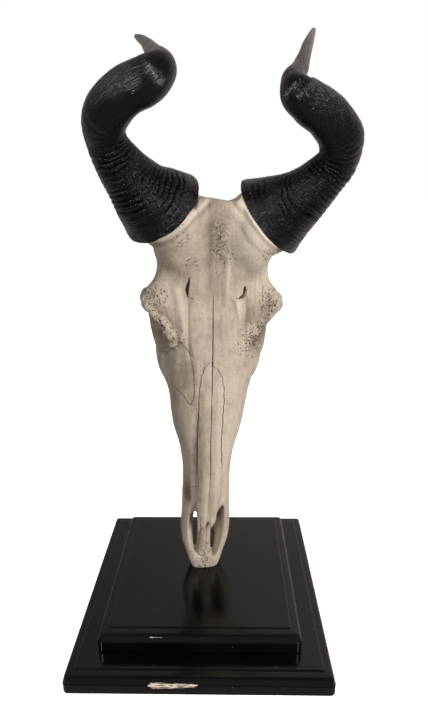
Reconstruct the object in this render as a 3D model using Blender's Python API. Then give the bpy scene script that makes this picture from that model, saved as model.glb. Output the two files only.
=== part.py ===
"""Hartebeest skull with its horns, standing nose down on a plinth of two moulded boards.

Metres, +Z up, the viewer in front on the -Y side. The origin is the middle of the plinth's underside.
The skull's own frame has x to the side, y from the forehead side to the palate side, and z up from the nose.
Its stations are in centimetres in that frame, and posed() turns, leans and stands it.
"""
import bpy
import bmesh
import numpy as np
from math import cos, pi, radians, sin

CM = 0.01
GAP = 0.0003
HALF_GAP_CM = 0.015

LOWER_SIDE = 0.280
LOWER_HEIGHT = 0.0215
UPPER_SIDE = 0.218
UPPER_TOP = 0.0450
CORNER_RADIUS = 0.006

LEAN = radians(2.8)
TURN = radians(6.0)
NOSE_X = 0.0017
BEND_CM = 0.20
BEND_HEIGHT_CM = 26.0
BEND_REACH_CM = 5.0

NASAL_HALF_WIDTH_CM = 1.45
NASAL_SHIFT_CM = 0.10
NASAL_TIP_CM = 6.2
NASAL_TOP_CM = 26.5
NASAL_ROUNDING_CM = 3.7
NASAL_THICKNESS_CM = 0.45
CRACK_TOP_CM = 34.0
CRACK_HALF_CM = 0.03

BONE_VOXEL = 0.0021
SKULL_TRIANGLES = 8200

CORE_SHIFT_CM = (0.30, 0.85)
SEAT_MARGIN_CM = 0.6
SEAT_DEPTH_CM = 5.0
RING_PITCH_CM = 0.95
RING_COUNT = 12
RING_HEIGHT_CM = 0.085
PLAIN_RINGS = 20
FOOT_BEND_CM = 3.5

REST_HALF = 0.06
REST_DEPTH = 0.03
# How far the blocks that part the bones reach past the skull: forward, backward, up, down and sideways.
FREE_FRONT_CM = -6.0
FREE_BACK_CM = 18.0
FREE_TOP_CM = 60.0
FREE_FOOT_CM = -9.0
FREE_SIDE_CM = 10.0
SIDES = ((-1, "left"), (1, "right"))


def clear_scene():
    for thing in list(bpy.data.objects):
        bpy.data.objects.remove(thing, do_unlink=True)


def material(name, color, roughness):
    made = bpy.data.materials.new(name)
    made.use_nodes = True
    shader = made.node_tree.nodes["Principled BSDF"]
    shader.inputs["Base Color"].default_value = (*color, 1.0)
    shader.inputs["Roughness"].default_value = roughness
    shader.inputs["Metallic"].default_value = 0.0
    return made


def smooth_rows(rows, count):
    """Rows of stations, the first column being the place along the form, read as smooth curves."""
    rows = np.asarray(rows, float)
    along = rows[:, 0]
    slopes = np.gradient(rows, along, axis=0)
    at = np.linspace(along[0], along[-1], count)
    k = np.clip(np.searchsorted(along, at, side="right") - 1, 0, len(along) - 2)
    span = (along[k + 1] - along[k])[:, None]
    t = ((at - along[k])[:, None]) / span
    low, high = rows[k], rows[k + 1]
    bend = (2 * t**3 - 3 * t**2 + 1) * low + (3 * t**2 - 2 * t**3) * high
    return bend + span * ((t**3 - 2 * t**2 + t) * slopes[k] + (t**3 - t**2) * slopes[k + 1])


def smooth_path(stations, count):
    """Stations of x, y, z and sizes read along the line through them."""
    rows = np.asarray(stations, float)
    steps = np.linalg.norm(np.diff(rows[:, :3], axis=0), axis=1)
    return smooth_rows(np.column_stack([np.concatenate([[0], np.cumsum(steps)]), rows]), count)[:, 1:]


def unit(rows):
    return rows / np.linalg.norm(rows, axis=-1, keepdims=True)


def posed(points):
    """Bends the face a little to the side, turns the skull, leans it and stands its nose on the plinth."""
    points = np.asarray(points, float)
    bend = BEND_CM * np.exp(-((points[..., 2] / CM - BEND_HEIGHT_CM) / BEND_REACH_CM) ** 2)
    side = points[..., 0] + bend * CM
    across = side * cos(TURN) - points[..., 1] * sin(TURN)
    y = side * sin(TURN) + points[..., 1] * cos(TURN)
    x = across * cos(LEAN) + points[..., 2] * sin(LEAN)
    z = points[..., 2] * cos(LEAN) - across * sin(LEAN)
    return np.stack([x + NOSE_X, y, z + UPPER_TOP], -1)


def loft(name, rings):
    """A closed solid through rings of points, with a fan of triangles at each end."""
    rings = np.asarray(rings, float)
    count, sides = rings.shape[:2]
    points = np.concatenate([rings.reshape(-1, 3), [rings[0].mean(0), rings[-1].mean(0)]])
    faces = []
    for i in range(count - 1):
        for j in range(sides):
            k = (j + 1) % sides
            faces.append((i * sides + j, i * sides + k, (i + 1) * sides + k, (i + 1) * sides + j))
    foot, top = count * sides, count * sides + 1
    for j in range(sides):
        k = (j + 1) % sides
        faces.append((foot, k, j))
        faces.append((top, (count - 1) * sides + j, (count - 1) * sides + k))
    mesh = bpy.data.meshes.new(name)
    mesh.from_pydata(points.tolist(), [], faces)
    face_out(mesh)
    return linked(name, mesh)


def linked(name, mesh):
    made = bpy.data.objects.new(name, mesh)
    bpy.context.scene.collection.objects.link(made)
    return made


def face_out(mesh):
    work = bmesh.new()
    work.from_mesh(mesh)
    bmesh.ops.recalc_face_normals(work, faces=work.faces)
    if work.calc_volume(signed=True) < 0:
        bmesh.ops.reverse_faces(work, faces=work.faces)
    work.to_mesh(mesh)
    work.free()


def rounded(angles, power):
    """The cosine and sine of a rounded square: power 2 is a circle and more is squarer."""
    c, s = np.cos(angles), np.sin(angles)
    return np.sign(c) * np.abs(c) ** (2 / power), np.sign(s) * np.abs(s) ** (2 / power)


def section_form(name, stations, count, sides=28):
    """A form along z from stations of height, half width, front, back, squareness and flare.

    The flare widens the back of each section and narrows its front.
    """
    rows = smooth_rows(stations, count)
    z, half, front, back, power, flare = (rows[:, [k]] for k in range(6))
    turn = np.linspace(0, 2 * pi, sides, endpoint=False)[None, :]
    c, s = rounded(turn, power)
    y = (front + back) / 2 + (back - front) / 2 * s
    x = half * c * (1 + flare * s)
    rings = np.stack([x, y, np.broadcast_to(z, x.shape)], -1)
    return loft(name, posed(rings * CM))


def bar_form(name, stations, count=24, sides=14):
    """A bar through stations of x, y, z, its half width to the side and its half depth."""
    rows = smooth_path(stations, count)
    path, wide, deep = rows[:, :3], rows[:, [3]], rows[:, [4]]
    along = unit(np.gradient(path, axis=0))
    side = unit(np.array([1.0, 0.0, 0.0]) - along * along[:, [0]])
    other = np.cross(along, side)
    turn = np.linspace(0, 2 * pi, sides, endpoint=False)
    rings = path[:, None] + (side * wide)[:, None] * np.cos(turn)[None, :, None]
    rings = rings + (other * deep)[:, None] * np.sin(turn)[None, :, None]
    return loft(name, posed(rings * CM))


def blob_form(name, centre, radii, tilt=0.0, count=14, sides=20):
    """An egg about a centre, tilted about the side axis by an angle in degrees."""
    polar = np.linspace(0.12, pi - 0.12, count)[:, None]
    turn = np.linspace(0, 2 * pi, sides, endpoint=False)[None, :]
    x = radii[0] * np.sin(polar) * np.cos(turn)
    y = radii[1] * np.sin(polar) * np.sin(turn)
    z = np.broadcast_to(-radii[2] * np.cos(polar), x.shape)
    a = radians(tilt)
    points = np.stack([x, y * cos(a) - z * sin(a), y * sin(a) + z * cos(a)], -1)
    return loft(name, posed((points + np.asarray(centre, float)) * CM))


def box_form(name, stations):
    """A four-sided block along z from stations of height, left, right, front and back."""
    rings = []
    for z, left, right, front, back in stations:
        rings.append([(left, front, z), (right, front, z), (right, back, z), (left, back, z)])
    return loft(name, posed(np.asarray(rings) * CM))


def mirrored(stations, side):
    rows = np.asarray(stations, float).copy()
    rows[..., 0] *= side
    return rows


def apply_all(body):
    """Replaces an object's mesh with what its modifiers make of it."""
    depsgraph = bpy.context.evaluated_depsgraph_get()
    mesh = bpy.data.meshes.new_from_object(body.evaluated_get(depsgraph))
    old = body.data
    body.modifiers.clear()
    body.data = mesh
    bpy.data.meshes.remove(old)


def drop(things):
    for thing in things:
        bpy.data.objects.remove(thing, do_unlink=True)


def fused(name, forms):
    """One surface around all the forms: they are joined and then wrapped again by a fine grid."""
    work = bmesh.new()
    for form in forms:
        work.from_mesh(form.data)
    mesh = bpy.data.meshes.new(name)
    work.to_mesh(mesh)
    work.free()
    drop(forms)
    body = linked(name, mesh)
    rewrap(body)
    return body


def rewrap(body):
    grid = body.modifiers.new("wrap", "REMESH")
    grid.mode = "VOXEL"
    grid.voxel_size = BONE_VOXEL
    grid.adaptivity = 0.0
    apply_all(body)


def soften(body, factor, steps):
    ease = body.modifiers.new("ease", "SMOOTH")
    ease.factor = factor
    ease.iterations = steps
    apply_all(body)


def thin_out(body, wanted):
    """Fewer triangles, where the surface is flattest first."""
    count = sum(len(face.vertices) - 2 for face in body.data.polygons)
    fewer = body.modifiers.new("thin", "DECIMATE")
    fewer.ratio = min(1.0, wanted / count)
    fewer.use_collapse_triangulate = True
    apply_all(body)


def boolean(body, cutters, operation):
    """Joins, cuts or crosses a body with several closed objects, which are used up."""
    group = bpy.data.collections.new("pieces")
    for cutter in cutters:
        group.objects.link(cutter)
    step = body.modifiers.new("step", "BOOLEAN")
    step.operand_type = "COLLECTION"
    step.collection = group
    step.operation = operation
    step.solver = "EXACT"
    apply_all(body)
    drop(cutters)
    bpy.data.collections.remove(group)


def keep_largest(body):
    """Keeps only the closed surface that holds the most, which drops scraps and sealed hollows."""
    work = bmesh.new()
    work.from_mesh(body.data)
    bmesh.ops.triangulate(work, faces=work.faces)
    work.faces.ensure_lookup_table()
    seen, best, best_size = set(), [], -1.0
    for start in work.faces:
        if start.index in seen:
            continue
        shell, stack, size = [], [start], 0.0
        seen.add(start.index)
        while stack:
            face = stack.pop()
            shell.append(face)
            size += face.calc_center_median().dot(face.normal) * face.calc_area()
            for edge in face.edges:
                for other in edge.link_faces:
                    if other.index not in seen:
                        seen.add(other.index)
                        stack.append(other)
        if size > best_size:
            best, best_size = shell, size
    keep = set(best)
    bmesh.ops.delete(work, geom=[f for f in work.faces if f not in keep], context="FACES")
    work.to_mesh(body.data)
    work.free()


def finish(body, look):
    body.data.materials.clear()
    body.data.materials.append(look)
    body.data.shade_smooth()
    body.data.set_sharp_from_angle(angle=radians(40))


def rounded_square(half, corner, per_corner=4):
    """The points of a square with rounded corners."""
    points = []
    for quarter in range(4):
        for k in range(per_corner + 1):
            a = (quarter + k / per_corner) * pi / 2
            sx = 1 if quarter in (0, 3) else -1
            sy = 1 if quarter in (0, 1) else -1
            x, y = sx * (half - corner), sy * (half - corner)
            points.append((x + corner * cos(a), y + corner * sin(a)))
    return points


# The boards' edges as steps of inset and level, measured from the foot and from the top.
FOOT_EDGE = [(0.0012, 0.0), (0.0, 0.0012)]
TOP_EDGE = [(0.0, -0.0095), (0.0007, -0.0062), (0.0024, -0.0038), (0.0046, -0.0028), (0.0080, -0.0026)]
TOP_EDGE += [(0.0105, -0.0018), (0.0112, -0.0013), (0.0114, 0.0)]
LEAST_CORNER = 0.0008


def board(name, side, foot, top, look):
    """A board with a rounded outer edge, a shallow cove inside it and a small step up to its flat top."""
    steps = [(inset, foot + level) for inset, level in FOOT_EDGE]
    steps += [(inset, top + level) for inset, level in TOP_EDGE]
    rings = []
    for inset, z in steps:
        outline = rounded_square(side / 2 - inset, max(CORNER_RADIUS - inset, LEAST_CORNER))
        rings.append([(x, y, z) for x, y in outline])
    made = loft(name, rings)
    finish(made, look)


# Stations of height, half width, front, back, squareness and flare.
FACE = [
    (-1.6, 1.70, 0.00, 1.50, 3.0, 0.0),
    (-0.6, 1.95, 0.05, 1.60, 2.8, 0.0),
    (0.5, 2.15, 0.10, 1.75, 2.8, 0.0),
    (1.6, 2.42, 0.15, 1.95, 2.6, 0.0),
    (2.8, 2.78, 0.15, 2.30, 2.4, 0.0),
    (4.6, 3.02, 0.05, 2.90, 2.4, 0.0),
    (7.5, 2.96, -0.25, 3.80, 2.3, 0.0),
    (9.5, 2.90, -0.60, 4.50, 2.2, 0.0),
    (12.0, 2.88, -0.75, 5.20, 2.2, 0.02),
    (13.6, 2.98, -0.58, 5.70, 2.2, 0.06),
    (15.5, 3.34, -0.38, 6.30, 2.2, 0.10),
    (17.4, 3.98, -0.15, 7.00, 2.2, 0.08),
    (19.5, 4.36, 0.08, 7.70, 2.3, 0.05),
    (22.5, 4.76, 0.32, 8.50, 2.3, 0.0),
    (26.0, 5.30, 0.55, 9.20, 2.3, -0.04),
    (29.0, 5.20, 0.75, 9.20, 2.2, -0.08),
    (32.0, 4.40, 0.95, 9.00, 2.2, -0.10),
    (35.5, 4.20, 1.40, 9.60, 2.2, -0.05),
    (38.5, 3.80, 2.40, 10.4, 2.2, 0.0),
]
NASALS = [
    (5.7, 0.55, -1.20, -0.80, 2.2, 0.0),
    (6.5, 1.00, -1.25, -0.75, 2.2, 0.0),
    (8.5, 1.25, -1.12, -0.50, 2.2, 0.0),
    (10.5, 1.50, -0.98, -0.10, 2.2, 0.0),
    (13.0, 1.62, -0.74, 0.25, 2.2, 0.0),
    (18.0, 1.75, -0.25, 0.80, 2.2, 0.0),
    (24.0, 1.80, 0.30, 1.40, 2.2, 0.0),
    (30.0, 1.80, 0.74, 2.00, 2.2, 0.0),
]
FOREHEAD = [
    (26.0, 4.30, 0.85, 3.20, 2.4, 0.0),
    (29.0, 4.75, 0.85, 4.00, 2.4, 0.1),
    (30.8, 5.45, 0.95, 4.00, 2.3, 0.1),
    (32.2, 7.10, 1.05, 4.00, 2.2, 0.0),
    (33.2, 7.70, 1.15, 4.30, 2.2, 0.0),
    (34.2, 7.30, 1.10, 4.70, 2.2, 0.0),
    (35.2, 6.50, 1.00, 5.00, 2.2, 0.0),
    (36.6, 6.10, 0.65, 5.60, 2.4, 0.0),
    (38.4, 6.40, 0.15, 6.00, 2.7, 0.0),
    (40.0, 6.60, -0.40, 6.40, 3.0, 0.0),
    (41.6, 6.10, -0.90, 6.40, 3.0, 0.0),
    (43.1, 5.00, -1.10, 5.90, 2.8, 0.0),
    (43.9, 3.80, -0.90, 5.20, 2.6, 0.0),
]
NOSE_TROUGH = [
    (1.6, 0.90, -3.0, 0.75, 2.6, 0.0),
    (2.8, 1.55, -3.0, 1.30, 2.8, 0.0),
    (4.2, 2.00, -3.0, 1.90, 3.0, 0.0),
    (5.4, 2.15, -3.0, 2.30, 3.0, 0.0),
    (6.4, 2.20, -0.88, 2.70, 3.0, 0.0),
    (8.6, 2.20, -0.76, 3.50, 2.8, 0.0),
    (10.5, 2.10, -0.62, 3.90, 2.4, 0.0),
    (13.0, 2.00, -0.40, 4.30, 2.2, 0.0),
    (17.0, 1.95, 0.00, 5.10, 2.2, 0.0),
    (20.0, 1.50, 0.45, 5.30, 2.2, 0.0),
]
NOSE_NOTCH = [(4.4, 0.70, 2.15, -3.0, 1.6), (6.4, 0.98, 2.15, -3.0, 1.8), (8.2, 1.22, 2.10, -3.0, 2.2)]
NOSE_NOTCH += [(9.4, 1.38, 1.95, -3.0, 2.2), (10.3, 1.52, 1.72, -3.0, 2.2)]
# Stations of x, y, z, half width to the side and half depth.
ORBIT_RIM = [
    (4.75, 2.75, 28.3, 0.70, 0.65),
    (4.85, 2.35, 29.0, 0.60, 0.55),
    (5.10, 2.15, 29.9, 0.50, 0.55),
    (5.75, 2.10, 30.8, 0.50, 0.60),
    (6.60, 2.20, 31.7, 0.50, 0.65),
    (7.45, 2.60, 32.6, 0.50, 0.65),
    (7.45, 3.60, 33.3, 0.50, 0.65),
    (7.05, 5.40, 33.5, 0.50, 0.55),
    (6.95, 6.90, 32.7, 0.50, 0.55),
    (6.95, 7.60, 31.2, 0.50, 0.65),
    (6.65, 7.30, 29.4, 0.55, 0.75),
    (6.10, 6.30, 27.8, 0.65, 0.80),
    (5.60, 5.00, 27.1, 0.75, 0.80),
    (5.10, 3.70, 27.3, 0.75, 0.70),
]
CHEEK_ARCH = [
    (3.90, 6.80, 19.5, 0.60, 1.00),
    (4.30, 6.80, 21.8, 0.65, 1.20),
    (4.80, 6.80, 23.0, 0.70, 1.40),
    (5.30, 6.80, 24.0, 0.75, 1.50),
    (5.62, 6.90, 25.2, 0.75, 1.45),
    (5.85, 7.10, 27.0, 0.70, 1.25),
    (6.10, 7.60, 29.0, 0.55, 1.05),
    (6.30, 8.20, 31.0, 0.50, 0.95),
    (6.15, 8.90, 33.6, 0.45, 0.80),
    (5.50, 9.60, 36.0, 0.55, 0.80),
    (4.80, 10.2, 37.6, 0.90, 0.90),
]
GUM_RIDGE = [(2.30, 5.00, 11.6, 0.55, 0.70), (2.55, 6.45, 15.0, 0.80, 1.20), (3.15, 8.60, 20.5, 0.95, 1.40)]
GUM_RIDGE += [(3.35, 9.30, 23.2, 0.80, 1.10)]
NECK_CREST = [(-4.0, 11.6, 38.6, 0.5, 0.5), (-3.0, 11.3, 41.2, 0.5, 0.5), (0.0, 10.9, 42.2, 0.6, 0.6)]
NECK_CREST += [(3.0, 11.3, 41.2, 0.5, 0.5), (4.0, 11.6, 38.6, 0.5, 0.5)]
SKULL_BASE = [(0.0, 12.8, 37.0, 1.8, 1.0), (0.0, 11.8, 33.5, 1.3, 0.9), (0.0, 9.6, 29.0, 1.1, 1.2)]
NECK_PRONG = [(3.3, 12.2, 37.2, 0.7, 0.7), (3.3, 13.8, 36.0, 0.5, 0.5), (3.1, 15.0, 34.8, 0.28, 0.28)]
THROAT_PLATE = [(2.0, 8.6, 24.4, 0.35, 0.9), (1.7, 10.2, 27.5, 0.30, 1.1), (1.5, 10.6, 31.0, 0.30, 0.9)]
THROAT_PLATE += [(1.3, 11.2, 34.0, 0.4, 0.6)]
NOSE_FLOOR = [(0.0, 0.90, 0.8, 0.75, 0.50), (0.0, 1.35, 4.0, 0.75, 0.45)]
NOSE_FLOOR += [(0.0, 2.40, 8.0, 0.70, 0.50), (0.0, 3.60, 12.0, 0.50, 0.60)]

# The middle of each sheath's foot, its radius, and the horn's outward and forward slant there in degrees.
HORN_FOOT = {-1: ((-5.50, 2.90, 42.70), 4.66, 47.0, 30.0), 1: ((5.82, 2.85, 42.20), 4.72, 42.0, 24.0)}
# The core's steps along the horn, how far it has moved inward and forward by then, and its radius.
CORE_STEPS = [(-6.0, 0.0, 3.15), (-3.0, 0.4, 3.55), (-1.0, 0.8, 3.80), (-0.3, 1.0, 3.95), (1.5, 1.0, 3.95)]


def horn_seat(side):
    """The middle of the sheath's foot, its radius, and the way that the horn leaves there."""
    middle, radius, out, forward = HORN_FOOT[side]
    level = cos(radians(forward))
    axis = np.array([side * cos(radians(out)) * level, -sin(radians(forward)), sin(radians(out)) * level])
    return np.asarray(middle), radius, axis


def horn_core(side, word):
    """The stub of bone that carries the sheath, with a collar that shows in front of the sheath's foot."""
    seat, _, axis = horn_seat(side)
    inner = unit(np.array([-side, 0.0, 0.0]) + axis * axis[0] * side)
    front = unit(np.array([0.0, -1.0, 0.0]) + axis * axis[1])
    shift = inner * CORE_SHIFT_CM[0] + front * CORE_SHIFT_CM[1]
    stations = []
    for step, share, radius in CORE_STEPS:
        stations.append((*(seat + axis * step + shift * share), radius, radius))
    return bar_form("core_" + word, stations, count=18, sides=20)


def skull_forms():
    """The skull's bones as plain overlapping forms."""
    forms = [section_form("face", FACE, 60), section_form("nasals", NASALS, 30)]
    forms.append(section_form("forehead", FOREHEAD, 40))
    forms.append(blob_form("braincase", (0, 7.8, 38.4), (4.4, 5.2, 3.7), 8))
    forms.append(blob_form("occiput", (0, 11.5, 38.4), (4.2, 1.7, 3.2), 20))
    forms.append(bar_form("skull_base", SKULL_BASE))
    forms.append(bar_form("neck_crest", NECK_CREST))
    for side, word in SIDES:
        forms.append(bar_form("orbit_rim_" + word, mirrored(ORBIT_RIM + ORBIT_RIM[:1], side), count=44))
        forms.append(bar_form("cheek_arch_" + word, mirrored(CHEEK_ARCH, side), count=30))
        forms.append(bar_form("gum_ridge_" + word, mirrored(GUM_RIDGE, side)))
        forms.append(bar_form("neck_prong_" + word, mirrored(NECK_PRONG, side)))
        forms.append(bar_form("throat_plate_" + word, mirrored(THROAT_PLATE, side)))
        forms.append(blob_form("condyle_" + word, (side * 1.75, 13.4, 37.2), (1.15, 1.0, 1.4)))
        forms.append(blob_form("bulla_" + word, (side * 2.5, 12.0, 34.9), (0.95, 1.3, 1.3)))
        forms.append(blob_form("mastoid_" + word, (side * 4.4, 10.8, 37.4), (1.1, 1.5, 1.5)))
        forms.append(horn_core(side, word))
    return forms


def skull_hollows():
    """What is taken out of the skull: the nose, the throat, the neck hole, the eye sockets and dents."""
    cuts = [section_form("nose_trough", NOSE_TROUGH, 60)]
    throat = [(0, 7.6, 23.6, 1.1, 1.3), (0, 9.6, 27.0, 1.15, 1.9), (0, 12.6, 29.5, 1.15, 1.9)]
    cuts.append(bar_form("throat", throat))
    cuts.append(bar_form("neck_hole", [(0, 11.0, 38.4, 1.0, 1.0), (0, 16.0, 39.6, 1.15, 1.15)], count=6))
    for side, word in SIDES:
        cuts.append(blob_form("socket_" + word, (side * 6.7, 4.9, 30.9), (3.4, 2.8, 2.85), 10))
        cuts.append(blob_form("tear_dent_" + word, (side * 6.1, 3.0, 25.0), (1.35, 1.7, 2.6)))
        notch = []
        for z, near, far, front, back in NOSE_NOTCH:
            notch.append((z, *sorted((side * near, side * far)), front, back))
        cuts.append(box_form("nose_notch_" + word, notch))
    return cuts


def nose_slots():
    """The two long slots in the floor of the nose, right through to the palate side."""
    cuts = []
    for side, word in SIDES:
        slot = [(side * 1.18, 9.0, 3.5, 0.42, 2.1), (side * 1.18, -2.0, 3.5, 0.42, 2.1)]
        cuts.append(bar_form("slot_" + word, slot, count=4))
    return cuts


def fine_cuts():
    """Small holes for nerves, the crack between the frontal bones and the flats that the skull rests by."""
    crack = []
    for z in np.linspace(NASAL_TOP_CM - 0.6, CRACK_TOP_CM, 5):
        crack.append((z, mid_line(z) - CRACK_HALF_CM, mid_line(z) + CRACK_HALF_CM, -1.0, 1.5))
    cuts = [box_form("crack", crack)]
    for side, word in SIDES:
        brow = [(side * 3.0, -0.5, 34.6, 0.30, 0.80), (side * 3.0, 2.4, 35.0, 0.20, 0.50)]
        cuts.append(bar_form("brow_hole_" + word, brow, count=2, sides=8))
        cheek = [(side * 4.2, 4.2, 13.0, 0.3, 0.5), (side * 1.9, 4.6, 14.6, 0.2, 0.3)]
        cuts.append(bar_form("cheek_hole_" + word, cheek, count=2, sides=8))
        seat, radius, axis = horn_seat(side)
        wide = radius + SEAT_MARGIN_CM
        low, high = seat - axis * GAP / CM, seat + axis * SEAT_DEPTH_CM
        rod = [(*low, wide, wide), (*high, wide, wide)]
        cuts.append(bar_form("seat_cut_" + word, rod, count=2, sides=32))
    floor = UPPER_TOP + GAP
    rings = []
    for z in (floor - REST_DEPTH, floor):
        corners = ((-1, -1), (1, -1), (1, 1), (-1, 1))
        rings.append([(x * REST_HALF, y * REST_HALF, z) for x, y in corners])
    cuts.append(loft("rest_cut", rings))
    return cuts


def whole_skull():
    body = fused("whole_skull", skull_forms())
    boolean(body, skull_hollows(), "DIFFERENCE")
    body = fused("whole_skull", [body, bar_form("nose_floor", NOSE_FLOOR)])
    boolean(body, nose_slots(), "DIFFERENCE")
    rewrap(body)
    soften(body, 0.5, 4)
    thin_out(body, SKULL_TRIANGLES)
    boolean(body, fine_cuts(), "DIFFERENCE")
    return body


def mid_line(z):
    """How far the joint in the middle of the face wanders to the side at a height."""
    return np.interp(z, (6.0, 13.0, 20.4, 26.0, 34.5), (0.0, 0.33, 0.12, -0.07, 0.0))


def nasal_half_width(z):
    """Half the width of the nasal bones at a height: narrow tips, straight sides, rounded top."""
    tip = np.clip((z - 5.0) / 5.5, 0.0, 1.0)
    top = np.clip((NASAL_TOP_CM - z) / NASAL_ROUNDING_CM, 0.0, 1.0)
    return NASAL_HALF_WIDTH_CM * (0.68 + 0.32 * tip) * np.sqrt(1 - (1 - top) ** 2)


def nasal_roof(z):
    """The front surface of the nasal bones along the middle."""
    stations = np.asarray(NASALS)
    return np.interp(z, stations[:, 0], stations[:, 2])


def nasal_block(name, side, inset):
    """The space of one nasal bone, or for side 0 that of both with the gap around them."""
    straight_top = NASAL_TOP_CM - NASAL_ROUNDING_CM
    top_curve = straight_top + NASAL_ROUNDING_CM * np.sin(np.linspace(0, 0.97, 9) * pi / 2)
    heights = np.concatenate([np.linspace(NASAL_TIP_CM, straight_top - 0.4, 12), top_curve])
    rows = []
    for z in heights:
        half = nasal_half_width(z) - inset
        centre = np.interp(z, (straight_top, NASAL_TOP_CM), (NASAL_SHIFT_CM, mid_line(NASAL_TOP_CM)))
        left, middle, right = centre - half, mid_line(z), centre + half
        ends = {0: (left, right), 1: (middle + inset, right), -1: (left, middle - inset)}[side]
        rows.append((z, *ends, FREE_FRONT_CM, nasal_roof(z) + NASAL_THICKNESS_CM - inset))
    return box_form(name, rows)


SUTURE_X_CM = (1.40, 2.15, 2.60, 3.00, 3.60, 4.40, 6.00)
SUTURE_Z_CM = (21.80, 21.25, 21.50, 22.10, 22.30, 22.80, 23.60)


def suture_height(x):
    """Where the jaw bones end and the cranium begins: lowest a little beside the nasals."""
    return np.interp(np.abs(x), SUTURE_X_CM, SUTURE_Z_CM)


def wavy_block(name, x, low, high):
    """A block from front to back whose lower and upper faces follow heights given at each x."""
    rings = []
    for at, foot, top in zip(x, low, high):
        front = [(at, FREE_FRONT_CM, foot), (at, FREE_FRONT_CM, top)]
        rings.append(front + [(at, FREE_BACK_CM, top), (at, FREE_BACK_CM, foot)])
    return loft(name, posed(np.asarray(rings) * CM))


# The heights of the slanting joint behind the nose's end, at the free front and at the free back.
NOSE_END_FRONT_CM = 16.5
NOSE_END_BACK_CM = -5.1


def nose_end_block(name, side, shift):
    """The space below the slanting joint between the premaxilla and the maxilla."""
    x0, x1 = -side, side * FREE_SIDE_CM
    rings = []
    for y, z in ((FREE_FRONT_CM, NOSE_END_FRONT_CM + shift), (FREE_BACK_CM, NOSE_END_BACK_CM + shift)):
        rings.append([(x0, y, FREE_FOOT_CM), (x1, y, FREE_FOOT_CM), (x1, y, z), (x0, y, z)])
    return loft(name, posed(np.asarray(rings) * CM))


# Cheek teeth from the nose backward: name, length along the row and width.
TEETH = [
    ("P2", 0.90, 0.85),
    ("P3", 1.10, 1.00),
    ("P4", 1.15, 1.15),
    ("M1", 1.65, 1.30),
    ("M2", 2.05, 1.40),
    ("M3", 2.15, 1.35),
]
ROW_START_CM = 12.4
ROW_LENGTH_CM = 9.0


def tooth_form(name, side, z, length, width):
    """A cheek tooth: a squarish prism that ends in a low crown, with its root sunk in the jaw."""
    share = (z - ROW_START_CM) / ROW_LENGTH_CM
    across = side * (2.35 + 0.90 * share)
    root, crown = 5.45 + 3.0 * share, 7.00 + 3.55 * share
    c, s = rounded(np.linspace(0, 2 * pi, 10, endpoint=False), 3.4)
    rings = []
    for depth, grow in ((0.0, 0.85), (0.8, 1.0), (1.0, 0.82)):
        y = root + (crown - root) * depth
        x = across + width / 2 * c * grow
        level = z - 0.25 * depth + length / 2 * s * grow
        rings.append(np.stack([x, np.full(len(c), y), level], -1))
    return loft(name, posed(np.asarray(rings) * CM))


def tooth_row(side, word):
    teeth = []
    z = ROW_START_CM
    for name, length, width in TEETH:
        teeth.append(tooth_form(name + "_" + word, side, z + length / 2, length * 1.02, width))
        z += length
    return teeth


def copy_of(body, name):
    return linked(name, body.data.copy())


def parted_bones():
    """Parts the whole skull along its sutures into the bones that a person would name."""
    whole = whole_skull()
    bones = []
    rest = copy_of(whole, "rest")
    boolean(rest, [nasal_block("nasal_space", 0, -HALF_GAP_CM)], "DIFFERENCE")
    for side, word in SIDES:
        nasal = copy_of(whole, "nasal_" + word)
        boolean(nasal, [nasal_block("nasal_block", side, HALF_GAP_CM)], "INTERSECT")
        bones.append(nasal)
    half = np.array([HALF_GAP_CM, *SUTURE_X_CM, FREE_SIDE_CM])
    x = np.concatenate([-half[::-1], half])
    cranium = copy_of(rest, "cranium")
    upper = wavy_block("upper", x, suture_height(x) + HALF_GAP_CM, np.full(len(x), FREE_TOP_CM))
    boolean(cranium, [upper], "INTERSECT")
    bones.append(cranium)
    for side, word in SIDES:
        x = side * half
        jaw = copy_of(rest, "maxilla_" + word)
        lower = wavy_block("lower", x, np.full(len(x), FREE_FOOT_CM), suture_height(x) - HALF_GAP_CM)
        boolean(jaw, [lower], "INTERSECT")
        nose_end = copy_of(jaw, "premaxilla_" + word)
        boolean(nose_end, [nose_end_block("nose_end", side, -HALF_GAP_CM)], "INTERSECT")
        boolean(jaw, [nose_end_block("nose_end", side, HALF_GAP_CM)], "DIFFERENCE")
        boolean(jaw, tooth_row(side, word), "UNION")
        bones += [jaw, nose_end]
    drop([whole, rest])
    for bone in bones:
        keep_largest(bone)
    return bones


# Stations of x outward, y, z and radius along the middle of each horn, above the sheath's foot.
HORN_RIGHT = [
    (6.92, 1.80, 42.90, 3.92),
    (8.35, 0.50, 44.08, 3.02),
    (9.90, -0.90, 45.75, 2.33),
    (11.12, -2.30, 47.70, 1.94),
    (10.85, -3.60, 49.50, 2.02),
    (9.02, -4.80, 51.15, 1.97),
    (7.03, -5.60, 52.10, 1.84),
    (5.91, -5.90, 52.81, 1.58),
    (5.71, -5.30, 53.57, 1.16),
    (6.66, -3.10, 55.19, 0.77),
    (8.00, 0.30, 58.00, 0.48),
    (9.24, 3.70, 60.03, 0.21),
]
HORN_LEFT = [
    (6.98, 1.80, 43.65, 3.80),
    (8.42, 0.70, 45.16, 2.89),
    (9.67, -0.60, 46.80, 2.31),
    (10.56, -1.80, 48.37, 1.94),
    (10.72, -3.00, 49.64, 1.94),
    (10.06, -4.30, 50.86, 2.05),
    (8.44, -5.30, 52.20, 1.99),
    (6.60, -5.80, 53.12, 1.86),
    (5.86, -5.40, 53.90, 1.56),
    (6.19, -3.60, 55.31, 0.91),
    (7.04, -0.10, 57.09, 0.51),
    (8.13, 3.90, 58.56, 0.23),
]


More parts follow.
